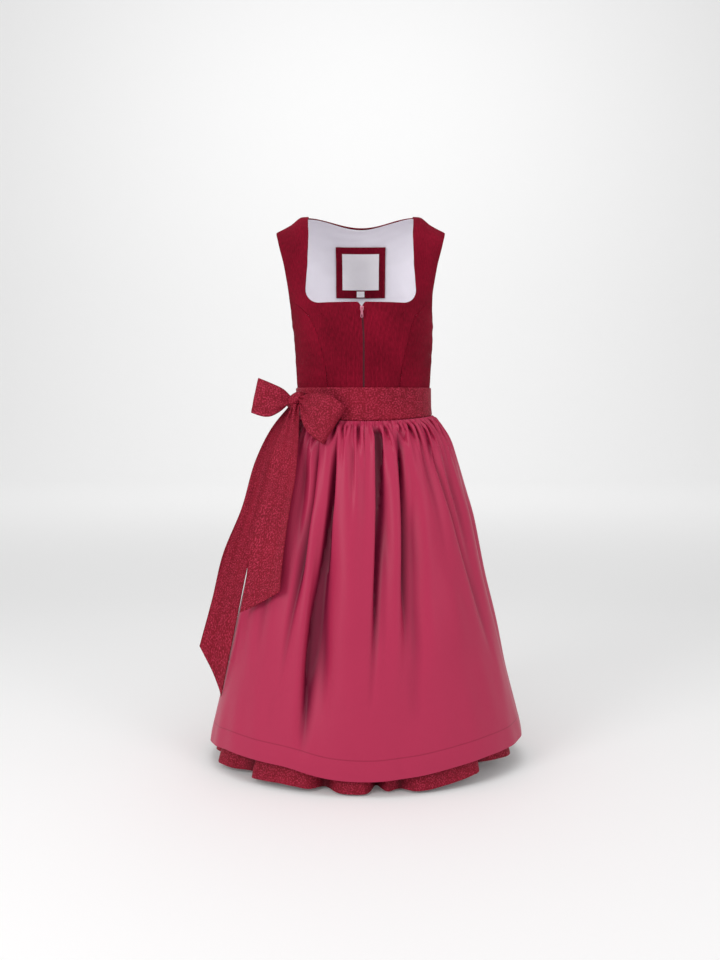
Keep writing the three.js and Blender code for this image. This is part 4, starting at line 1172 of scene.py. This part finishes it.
def skirt_cloth(name, from_turn, to_turn, across, up):
    """A length of the skirt between two turns, with its rows crowded near the waist."""
    top = WAIST_SEAM - SEAM_GAP
    def place(i, j):
        share = (1 - j / up) ** SKIRT_CROWDING
        return from_turn + (to_turn - from_turn) * i / across, top + (SKIRT_HEM - top) * share
    flat = flat_around(SKIRT_RADIUS)
    return cloth(name, across, up, place, skirt_point, SKIRT_CLOTH, out=skirt_relief, flat=flat)


def skirt_relief(turn, z):
    """Small gathers, the hem's turned-up edge with its seam, and soft slack."""
    hem = SKIRT_HEM - z
    out = fine_gathers(turn, z, seed=31) * (np.abs(signed_between(turn, 0)) > OPEN_FROM)
    out = out - 0.5 * hump(hem + HEM_SEAM, 1.6) - 0.4 * hump(hem, 1.4)
    return out + 1.2 * unevenness(turn / 16, z / 260, seed=33) * eased((WAIST_SEAM - 60 - z) / 200)


skirt_front = skirt_cloth("skirt_front_cloth", -90 + SIDE_SEAM_GAP, 90 - SIDE_SEAM_GAP, 360, 64)
finished(skirt_front, jacquard, "jacquard", "skirt_front")
skirt_back = skirt_cloth("skirt_back_cloth", 90 + SIDE_SEAM_GAP, 270 - SIDE_SEAM_GAP, 400, 96)
finished(skirt_back, jacquard, "jacquard", "skirt_back")
print("skirt:", len(skirt_back.data.polygons), "faces at the back")

# %% Apron
APRON_ACROSS, APRON_UP = 430, 108
APRON_CROWDING = 1.7
APRON_RADIUS = 330


def apron_place(i, j):
    """Turn and height of the apron's grid, with its rows crowded under the band."""
    turn = -APRON_REACH + 2 * APRON_REACH * i / APRON_ACROSS
    top = band_edge(turn) - SEAM_GAP
    return turn, top + (APRON_HEM - top) * (1 - j / APRON_UP) ** APRON_CROWDING


TUCK_EVERY = 4.2


def short_tucks(turn, z):
    """Narrow, slanted tucks below the band, each with a place, depth and length of its own."""
    pick = np.random.default_rng(47)
    out = 0
    for at in np.arange(-APRON_REACH + 4, APRON_REACH - 3, TUCK_EVERY):
        place = at + pick.uniform(-1.2, 1.2)
        depth, long, slant = pick.uniform(2, 9), pick.uniform(15, 60), pick.uniform(-3, 3)
        below = (band_edge(turn) - 3 - z) / long
        aside = turn - place - slant * below
        strength = eased(below * 4) * np.exp(-np.clip(below, 0, None) ** 2)
        ridges = hump(aside - 2, 1.2) + hump(aside + 2, 1.2)
        out = out + depth * strength * (0.25 * ridges - hump(aside, 0.85))
    return out


def apron_relief(turn, z):
    """Gathers and tucks, the doubled hem with its stitched line, and soft slack."""
    under_stitch = eased((APRON_STITCH - z) / 1.5)
    tucks = folded(apron_tucks, turn, z) - short_tucks(turn, z)
    out = fine_gathers(turn, z, seed=41) - tucked(turn, z, tucks)
    out = out + 0.5 * under_stitch - 0.7 * hump(z - APRON_STITCH, 1.3) - 0.4 * hump(z - APRON_HEM, 1.4)
    return out + 1.3 * unevenness(turn / 22, z / 420, seed=43) * eased((BAND_FRONT - 60 - z) / 160)


apron = cloth(
    "apron_cloth", APRON_ACROSS, APRON_UP, apron_place, apron_point, SKIRT_CLOTH, out=apron_relief,
    flat=flat_around(APRON_RADIUS),
)
finished(apron, apron_satin, "apron_satin", "apron")
print("apron:", len(apron.data.polygons), "faces")

# %% [markdown]
# ## The waistband, the tie and the bow
# The band is a long jacquard strip, stiffened in front and soft behind. Its ends cross at the wearer's
# right side and tie in a bow. A ribbon is easiest to shape by its two edges: each edge is a smooth path
# through a few points, and the cloth is stretched between them, with creases that fan out of the knot.


# %% Band and tie round the back
BAND_LIFT, BAND_CLOTH, BAND_ENDS, BAND_UP, BAND_RADIUS = 3.3, 2.4, 100, 26, 125
TIE_NARROWER, TIE_GAP, KNOT_AT = 4, 0.25, -66


def band_piece(name, from_turn, to_turn, across, narrow, relief):
    """A stretch of the band between two turns."""
    def place(i, j):
        turn = from_turn + (to_turn - from_turn) * i / across
        bottom = band_edge(turn) + narrow
        return turn, bottom + (BAND_TOP - narrow - bottom) * j / BAND_UP
    return cloth(
        name, across, BAND_UP, place, torso_point, BAND_CLOTH,
        out=relief, flat=flat_around(BAND_RADIUS), lift=BAND_LIFT,
    )


def band_relief(turn, rise):
    """Pressed edges, a little fullness, and pulled creases next to the knot."""
    bottom = band_edge(turn)
    to_edge = np.minimum(BAND_TOP - rise, rise - bottom)
    share = (rise - bottom) / (BAND_TOP - bottom)
    pull = np.exp(-np.abs(signed_between(turn, KNOT_AT)) / 16.0)
    creases = 1.4 * pull * np.sin(2 * math.pi * (share * 2.6 + turn / 60))
    soft = 0.35 * unevenness(turn / 12, rise / 60, seed=51)
    return edge_roll(to_edge, 2.0) + (soft + creases) * eased(to_edge / 7)


def tie_relief(turn, rise):
    """The softer tie creases along its length."""
    bottom = band_edge(turn) + TIE_NARROWER
    to_edge = np.minimum(BAND_TOP - TIE_NARROWER - rise, rise - bottom)
    share = (rise - bottom) / (BAND_TOP - TIE_NARROWER - bottom)
    creases = 0.8 * np.sin(2 * math.pi * (share * 1.8 + unevenness(turn / 80, share * 0.2, seed=53) * 0.5))
    return edge_roll(to_edge, 1.6) + creases * eased(to_edge / 8)


band = band_piece("waistband", -BAND_ENDS, BAND_ENDS, 320, 0, band_relief)
finished(band, jacquard, "jacquard", "apron_band")
tie = band_piece(
    "tie_round_back_cloth", BAND_ENDS + TIE_GAP, 360 - BAND_ENDS - TIE_GAP, 260, TIE_NARROWER, tie_relief
)
finished(tie, jacquard, "jacquard", "tie_round_back")
print("band:", len(band.data.polygons), "faces")


# %% Smooth paths for the ribbon's edges
def smooth_path(points):
    """A path through the points, parted evenly between them, as a function of 0 to 1."""
    points = np.asarray(points, float)
    ends = [2 * points[0] - points[1], *points, 2 * points[-1] - points[-2]]
    control = np.array(ends)
    def at(t):
        t = np.clip(np.asarray(t, float), 0, 1) * (len(points) - 1)
        k = np.clip(t.astype(int), 0, len(points) - 2)
        f = (t - k)[..., None]
        p0, p1, p2, p3 = (control[k + n] for n in range(4))
        gap = lambda a, b: np.sqrt(np.maximum(np.linalg.norm(b - a, axis=-1, keepdims=True), 1e-6))
        d0, d1, d2 = gap(p0, p1), gap(p1, p2), gap(p2, p3)
        start = ((p1 - p0) / d0 - (p2 - p0) / (d0 + d1) + (p2 - p1) / d1) * d1
        finish = ((p2 - p1) / d1 - (p3 - p1) / (d1 + d2) + (p3 - p2) / d2) * d1
        bend = -3 * p1 + 3 * p2 - 2 * start - finish
        return p1 + f * (start + f * (bend + f * (2 * p1 - 2 * p2 + start + finish)))
    return at


def unit(rows):
    """Each row at length 1."""
    return rows / np.maximum(np.linalg.norm(rows, axis=-1, keepdims=True), 1e-9)


def ribbon_surface(left, right, rounded=0, ripple=0, pleats=2):
    """A sheet between two edges, given from the knot outwards."""
    from_path, to_path = smooth_path(left), smooth_path(right)
    def surface(s, v):
        s = np.clip(np.asarray(s, float), 0, 1)
        v = np.asarray(v, float)
        start = from_path(s)
        width = to_path(s) - start
        run = unit(from_path(s + 1e-4) - from_path(s - 1e-4)) + unit(to_path(s + 1e-4) - to_path(s - 1e-4))
        facing = unit(np.cross(run, width))
        pleat = ripple * (1 - s) ** 3 * np.sin(np.pi * pleats * v) ** 2
        out = rounded * np.minimum(1, 4 * s) * 4 * v * (1 - v) + pleat
        return start + width * v[..., None] + facing * out[..., None]
    return surface


# %% Knot, loops and tails
KNOT = np.array([-137 + LEAN, -59, -371])
KNOT_LONG, KNOT_DEEP, KNOT_HIGH = 23, 16, 13
KNOT_TURN, KNOT_SLOPE = math.radians(-38), math.radians(-36)
TUCKED_IN = 0.8
RIBBON_ACROSS = 44
LOOP_SHAPE = (0, 2.5, 2)
TAIL_SHAPE = (6, 5, 2)


def turning(angle, first, second):
    """A turn by an angle, from one axis towards another."""
    made = np.eye(3)
    made[first, first] = made[second, second] = math.cos(angle)
    made[second, first] = math.sin(angle)
    made[first, second] = -math.sin(angle)
    return made


KNOT_AXES = turning(KNOT_TURN, 0, 1) @ turning(KNOT_SLOPE, 2, 0)


def leaned(*rows):
    """Points of the bow, moved with the dress's lean."""
    return np.array(rows, float) + np.array([LEAN, 0, 0])


def without_knot(piece):
    """Cuts away what would be hidden inside the knot."""
    form = bmesh.new()
    form.from_mesh(piece.data)
    room = np.array([KNOT_LONG, KNOT_DEEP, KNOT_HIGH]) - TUCKED_IN
    inside = []
    for vert in form.verts:
        local = KNOT_AXES.T @ (np.array(vert.co) / MM - KNOT)
        if np.linalg.norm(local / room) < 1:
            inside.append(vert)
    bmesh.ops.delete(form, geom=inside, context="VERTS")
    form.to_mesh(piece.data)
    form.free()
    return piece


def ribbon(name, surface, along, out, lengths):
    """A ribbon as cloth, with its flat map from its real length and width in millimetres."""
    def place(i, j):
        return i / along, j / RIBBON_ACROSS
    def flat(s, v):
        return np.stack([v * lengths[1], s * lengths[0]], axis=-1)
    return cloth(
        name, along, RIBBON_ACROSS, place, surface, RIBBON_CLOTH,
        out=out, flat=flat, lift=RIBBON_CLOTH / 2, step=0.004,
    )


def loop_edges(upper, lower, gaps):
    """A loop's two edges: out along its points, and back behind itself."""
    last = len(upper) - 1
    facing = np.cross(upper[last] - upper[0], lower[last] - upper[last])
    facing = facing / np.linalg.norm(facing)
    facing = -facing if facing[1] > 0 else facing
    def round_trip(row):
        there = [point + facing * gap / 2 for point, gap in zip(row, gaps)]
        back = [point - facing * gap / 2 for point, gap in zip(row, gaps)]
        return np.array(there + back[::-1])
    return round_trip(upper), round_trip(lower)


def loop_relief(seed, fan):
    """Creases that fan out of the knot on both layers, and pressed edges."""
    def relief(s, v):
        out = np.minimum(s, 1 - s) * 2
        way = v * 2.7 + 0.25 * np.sin(5 * s) + seed * 0.13
        creases = fan * (1 - out) ** 1.6 * np.sin(2 * math.pi * way)
        soft = 0.9 * unevenness(s * 2.2, v * 1.4, seed)
        to_edge = np.minimum(v, 1 - v)
        return (creases + soft) * eased(to_edge / 0.16) - 0.6 * hump(to_edge, 0.02)
    return relief


def tail_relief(seed, fan):
    """Creases below the knot, long soft waves, and pressed edges."""
    def relief(s, v):
        creases = fan * np.exp(-s * 7) * np.sin(2 * math.pi * (v * 2.4 + 0.8 * s + seed * 0.17))
        waves = 1.7 * unevenness(s * 2.4 + v * 0.3, v * 0.8, seed)
        to_edge = np.minimum(v, 1 - v)
        out = (creases + waves) * eased(to_edge / 0.12) - 0.5 * hump(to_edge, 0.02)
        return out - 0.4 * hump(1 - s, 0.004)
    return relief


left_loop = loop_edges(
    leaned((-146, -60, -364), (-162, -60, -349), (-189, -56, -336), (-211, -53, -327)),
    leaned((-148, -62, -377), (-172, -62, -396), (-195, -57, -405), (-226, -53, -397)),
    (4, 13, 16, 7),
)
right_loop = loop_edges(
    leaned((-127, -73, -364), (-99, -99, -361), (-65, -111, -365), (-37, -117, -384)),
    leaned((-128, -74, -377), (-118, -104, -418), (-103, -124, -440), (-80, -137, -455)),
    (4, 15, 18, 8),
)
front_tail = (
    leaned(
        (-129, -76, -380), (-128, -103, -422), (-129, -121, -461), (-134, -141, -526),
        (-141, -149, -566), (-151, -160, -633), (-158, -170, -693), (-162, -176, -739),
    ),
    leaned(
        (-143, -68, -380), (-166, -75, -432), (-179, -82, -465), (-193, -88, -531),
        (-204, -93, -572), (-226, -98, -663), (-236, -109, -739), (-246, -115, -793),
    ),
)
back_tail = (
    leaned(
        (-137, -57, -380), (-159, -58, -430), (-180, -72, -500), (-205, -74, -590),
        (-235, -56, -700), (-256, -56, -800), (-294, -56, -982),
    ),
    leaned(
        (-146, -52, -377), (-189, -42, -430), (-221, -50, -496), (-249, -48, -590),
        (-290, -40, -688), (-313, -35, -779), (-342, -30, -882),
    ),
)

for part, edges, along, lengths, relief, shape, flat in (
    ("bow_loop_left", left_loop, 150, (190, 70), loop_relief(61, 1.5), LOOP_SHAPE, (0.07, 0.19)),
    ("bow_loop_right", right_loop, 170, (240, 75), loop_relief(64, 1.5), LOOP_SHAPE, (0.075, 0.24)),
    ("tie_tail_front", front_tail, 200, (420, 78), tail_relief(67, 2.0), TAIL_SHAPE, (0.085, 0.42)),
    ("tie_tail_back", back_tail, 240, (590, 78), tail_relief(70, 1.6), TAIL_SHAPE, (0.062, 0.61)),
):
    surface = ribbon_surface(*edges, *shape)
    piece = without_knot(ribbon(f"{part}_cloth", surface, along, relief, lengths))
    finished(piece, jacquard, "jacquard", part)
print("ribbons made")

# %% The knot
def build_knot():
    """A fat turn of ribbon with creases along it, from a ball drawn out along the knot's axes."""
    form = bmesh.new()
    bmesh.ops.create_uvsphere(form, u_segments=96, v_segments=48, radius=1)
    mesh = mesh_of(form, "bow_knot_cloth")
    ball = points_of(mesh)
    around = np.arctan2(ball[:, 2], ball[:, 1])
    belly = 1 - ball[:, 0] ** 2
    crease = np.sin(5 * around + 2.5 * ball[:, 0]) * 0.045 + np.sin(9 * around - 3 * ball[:, 0] + 1) * 0.03
    sized = ball * (1 + (crease * belly)[:, None]) * np.array([KNOT_LONG, KNOT_DEEP, KNOT_HIGH])
    mesh.vertices.foreach_set("co", ((sized @ KNOT_AXES.T + KNOT) * MM).ravel())
    flat = np.stack([around * 14, ball[:, 0] * KNOT_LONG], axis=-1)
    lay_flat_map(mesh, flat * MM)
    mesh.update()
    return thickened(shown("bow_knot_cloth", mesh), 0)


knot = build_knot()
finished(knot, jacquard, "jacquard", "bow_knot")
print("knot:", [round(size * 1000) for size in knot.dimensions], "mm")

# %% [markdown]
# ## The zip
# A fine coil zip closes the front. Its tape lies behind the two front edges and its teeth meet in the gap.
# The slider and the pull keep their solid shapes, which are already right, and get a rose paint. Only the
# pull moves.

# %% Zip tape and its coil
TAPE_HALF, TAPE_CLOTH = 7.5, 0.7
CHAIN_HALF, CHAIN_DEEP, CHAIN_LIFT = 2.2, 1.3, -0.1
ZIP_TOP = NECKLINE - NOTCH - 1.5
ZIP_FOOT = WAIST_SEAM + 2


def zip_strip(name, half, lift, thick, across, up):
    """A straight strip up the centre front."""
    def place(i, j):
        rise = ZIP_FOOT + (ZIP_TOP - ZIP_FOOT) * j / up
        return turn_at_x(half * (2 * i / across - 1), rise), rise
    return cloth(name, across, up, place, torso_point, thick, flat=torso_flat(0), lift=lift)


tape = zip_strip("zip_tape_cloth", TAPE_HALF, -(BODICE_CLOTH + 0.35), TAPE_CLOTH, 12, 80)
finished(tape, tape_cloth, "zip_tape", "zip_tape")

TOOTH_PITCH = 1.5
TOOTH = Vector((CHAIN_HALF * 1.15, CHAIN_DEEP, 0.95))
teeth = bmesh.new()
count = int((ZIP_TOP - ZIP_FOOT) / TOOTH_PITCH)
for number in range(count):
    rise = ZIP_FOOT + (number + 0.5) * TOOTH_PITCH
    aside = (0.45 if number % 2 else -0.45) * CHAIN_HALF
    middle = torso_point(turn_at_x(aside, rise), rise)
    made = bmesh.ops.create_cube(teeth, size=1)["verts"]
    bmesh.ops.scale(teeth, vec=TOOTH, verts=made)
    bmesh.ops.translate(teeth, vec=Vector(middle) + Vector((0, CHAIN_DEEP / 2 - CHAIN_LIFT, 0)), verts=made)
bmesh.ops.bevel(
    teeth, geom=teeth.edges[:], offset=0.25, segments=2, affect="EDGES", profile=0.5, material=-1
)
bmesh.ops.scale(teeth, vec=(MM, MM, MM), verts=teeth.verts)
zip_teeth = thickened(shown("zip_teeth", mesh_of(teeth, "zip_teeth")), 0)
zip_teeth.data.uv_layers.new(name="cloth")
finished(zip_teeth, tape_cloth, "zip_tape", "zip_chain")
print("zip teeth:", count)

for node in ("zip_slider", "zip_pull"):
    metal_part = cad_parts[node]
    metal_part.data.materials.clear()
    metal_part.data.materials.append(rose_metal)

# %% [markdown]
# ## Stitches
# A row of stitches is a row of short raised threads. One rounded stitch is made for each place along the
# row, which keeps every stitch at its real size, however the cloth under it bends.


# %% Rows of stitches
def stitch_row(name, path, pitch, long, thick):
    """Stitches along path(share), which gives points in millimetres and the way the cloth faces."""
    shares = np.linspace(0, 1, 2000)
    points, facings = path(shares)
    run = np.concatenate([[0], np.cumsum(np.linalg.norm(np.diff(points, axis=0), axis=1))])
    places = np.interp(np.arange(pitch / 2, run[-1], pitch), run, shares)
    points, facings = path(places)
    ahead, _ = path(np.minimum(places + 1e-3, 1))
    behind, _ = path(np.maximum(places - 1e-3, 0))
    form = bmesh.new()
    for point, facing, way in zip(points, facings, unit(ahead - behind)):
        made = bmesh.ops.create_icosphere(form, subdivisions=1, radius=0.5)["verts"]
        bmesh.ops.scale(form, vec=(long, thick, thick), verts=made)
        side = np.cross(facing, way)
        axes = np.array([way, side / np.linalg.norm(side), facing]).T
        for vert in made:
            vert.co = Vector((axes @ np.array(vert.co) + point) * MM)
    mesh = mesh_of(form, name)
    mesh.uv_layers.new(name="cloth")
    return thickened(shown(name, mesh), 0)


def apron_hem_path(share):
    """The line of the apron's hem stitches."""
    turn = -APRON_REACH + 0.5 + (2 * APRON_REACH - 1) * share
    z = np.full(turn.shape, float(APRON_STITCH))
    facing = facing_of(apron_point, turn, z)
    return apron_point(turn, z) + facing * (apron_relief(turn, z) + 0.12)[:, None], facing


def square_path(half, low, high, lift):
    """A line of stitches round a square on the lining's back."""
    def path(share):
        corner = np.array([0, 1, 2, 3, 4]) / 4
        u = np.interp(share, corner, (-half, half, half, -half, -half))
        v = np.interp(share, corner, (low, low, high, high, low))
        facing = facing_of(back_inside_point, u, v)
        return back_inside_point(u, v) + facing * lift, -facing
    return path


hem_stitches = stitch_row("apron_hem_stitches", apron_hem_path, pitch=3.2, long=2.4, thick=0.5)
finished(hem_stitches, red_thread, "apron_satin")
patch_path = square_path(51.3, -150.8, -47.2, PATCH_LIFT - PATCH_CLOTH + 0.25)
patch_stitches = stitch_row("label_square_stitches", patch_path, pitch=3.0, long=2.2, thick=0.45)
finished(patch_stitches, red_thread, "corduroy")
print("stitches:", len(hem_stitches.data.polygons), "faces on the hem")

# %% [markdown]
# ## The studio
# The dress stands in soft light on a pale floor that runs up into a pale wall. The camera is level with
# the waist and looks a little down, two metres away, as a shop's camera does.

# %% Plain colours, as a shop's picture has them
bpy.context.scene.view_settings.view_transform = "Standard"

# %% Camera
CAMERA_PLACE = (-0.0013, -2.080, -0.371)
CAMERA_DOWN = math.atan(0.08)
camera_data = bpy.data.cameras.new("camera")
camera_data.lens = 37.5
camera_data.sensor_width = 36
camera = bpy.data.objects.new("camera", camera_data)
camera.location = CAMERA_PLACE
camera.rotation_euler = (math.pi / 2 - CAMERA_DOWN, 0, 0)
bpy.context.scene.collection.objects.link(camera)
bpy.context.scene.camera = camera

# %% Floor and wall in one sweep
FLOOR_Z = SKIRT_HEM * MM - 0.0035
SWEEP_RADIUS, WALL_HIGH = 2, 5
sweep = bmesh.new()
bmesh.ops.create_grid(sweep, x_segments=1, y_segments=1, size=6)
bmesh.ops.translate(sweep, vec=(0, 1, FLOOR_Z), verts=sweep.verts)
far_edge = [edge for edge in sweep.edges if all(vert.co.y > 6 for vert in edge.verts)]
curved = bmesh.ops.spin(
    sweep, geom=far_edge, cent=(0, 7, FLOOR_Z + SWEEP_RADIUS), axis=(1, 0, 0), angle=math.pi / 2, steps=24
)
top_edge = [item for item in curved["geom_last"] if isinstance(item, bmesh.types.BMEdge)]
raised = bmesh.ops.extrude_edge_only(sweep, edges=top_edge)["geom"]
raised_verts = [item for item in raised if isinstance(item, bmesh.types.BMVert)]
bmesh.ops.translate(sweep, vec=(0, 0, WALL_HIGH), verts=raised_verts)
floor = thickened(shown("studio_floor", mesh_of(sweep, "studio_floor")), 0)
floor_paint = bpy.data.materials.new("studio_floor")
floor_paint.use_nodes = True
for key, value in (
    ("Base Color", (0.88, 0.88, 0.88, 1)), ("Roughness", 0.9), ("Emission Color", (1, 1, 1, 1)),
    ("Emission Strength", 0.05),
):
    floor_paint.node_tree.nodes["Principled BSDF"].inputs[key].default_value = value
floor.data.materials.append(floor_paint)


# %% Soft light
def softbox(name, place, aim, size, power):
    """A large soft lamp that looks at a point."""
    lamp = bpy.data.lights.new(name, "AREA")
    lamp.shape = "RECTANGLE"
    lamp.size, lamp.size_y = size
    lamp.energy = power
    light = bpy.data.objects.new(name, lamp)
    light.location = place
    light.rotation_euler = (Vector(aim) - Vector(place)).to_track_quat("-Z", "Y").to_euler()
    bpy.context.scene.collection.objects.link(light)


softbox("left_softbox", (-2.1, -2.3, 0.7), (0, 0, -0.6), (1.2, 1.6), 36)
softbox("right_softbox", (2.0, -2.2, 0.6), (0, 0, -0.5), (1.0, 1.8), 13)
softbox("top_softbox", (0, -0.6, 2.2), (0, 0, -0.5), (2.0, 1.6), 22)
softbox("wall_softbox", (0, 4.2, 3.6), (0, 9, 1.0), (5.0, 1.5), 105)
WALL_LIGHT = 0.62
world = bpy.data.worlds.new("studio_world")
world.use_nodes = True
world.node_tree.nodes["Background"].inputs["Color"].default_value = (1, 1, 1, 1)
world.node_tree.nodes["Background"].inputs["Strength"].default_value = WALL_LIGHT
bpy.context.scene.world = world
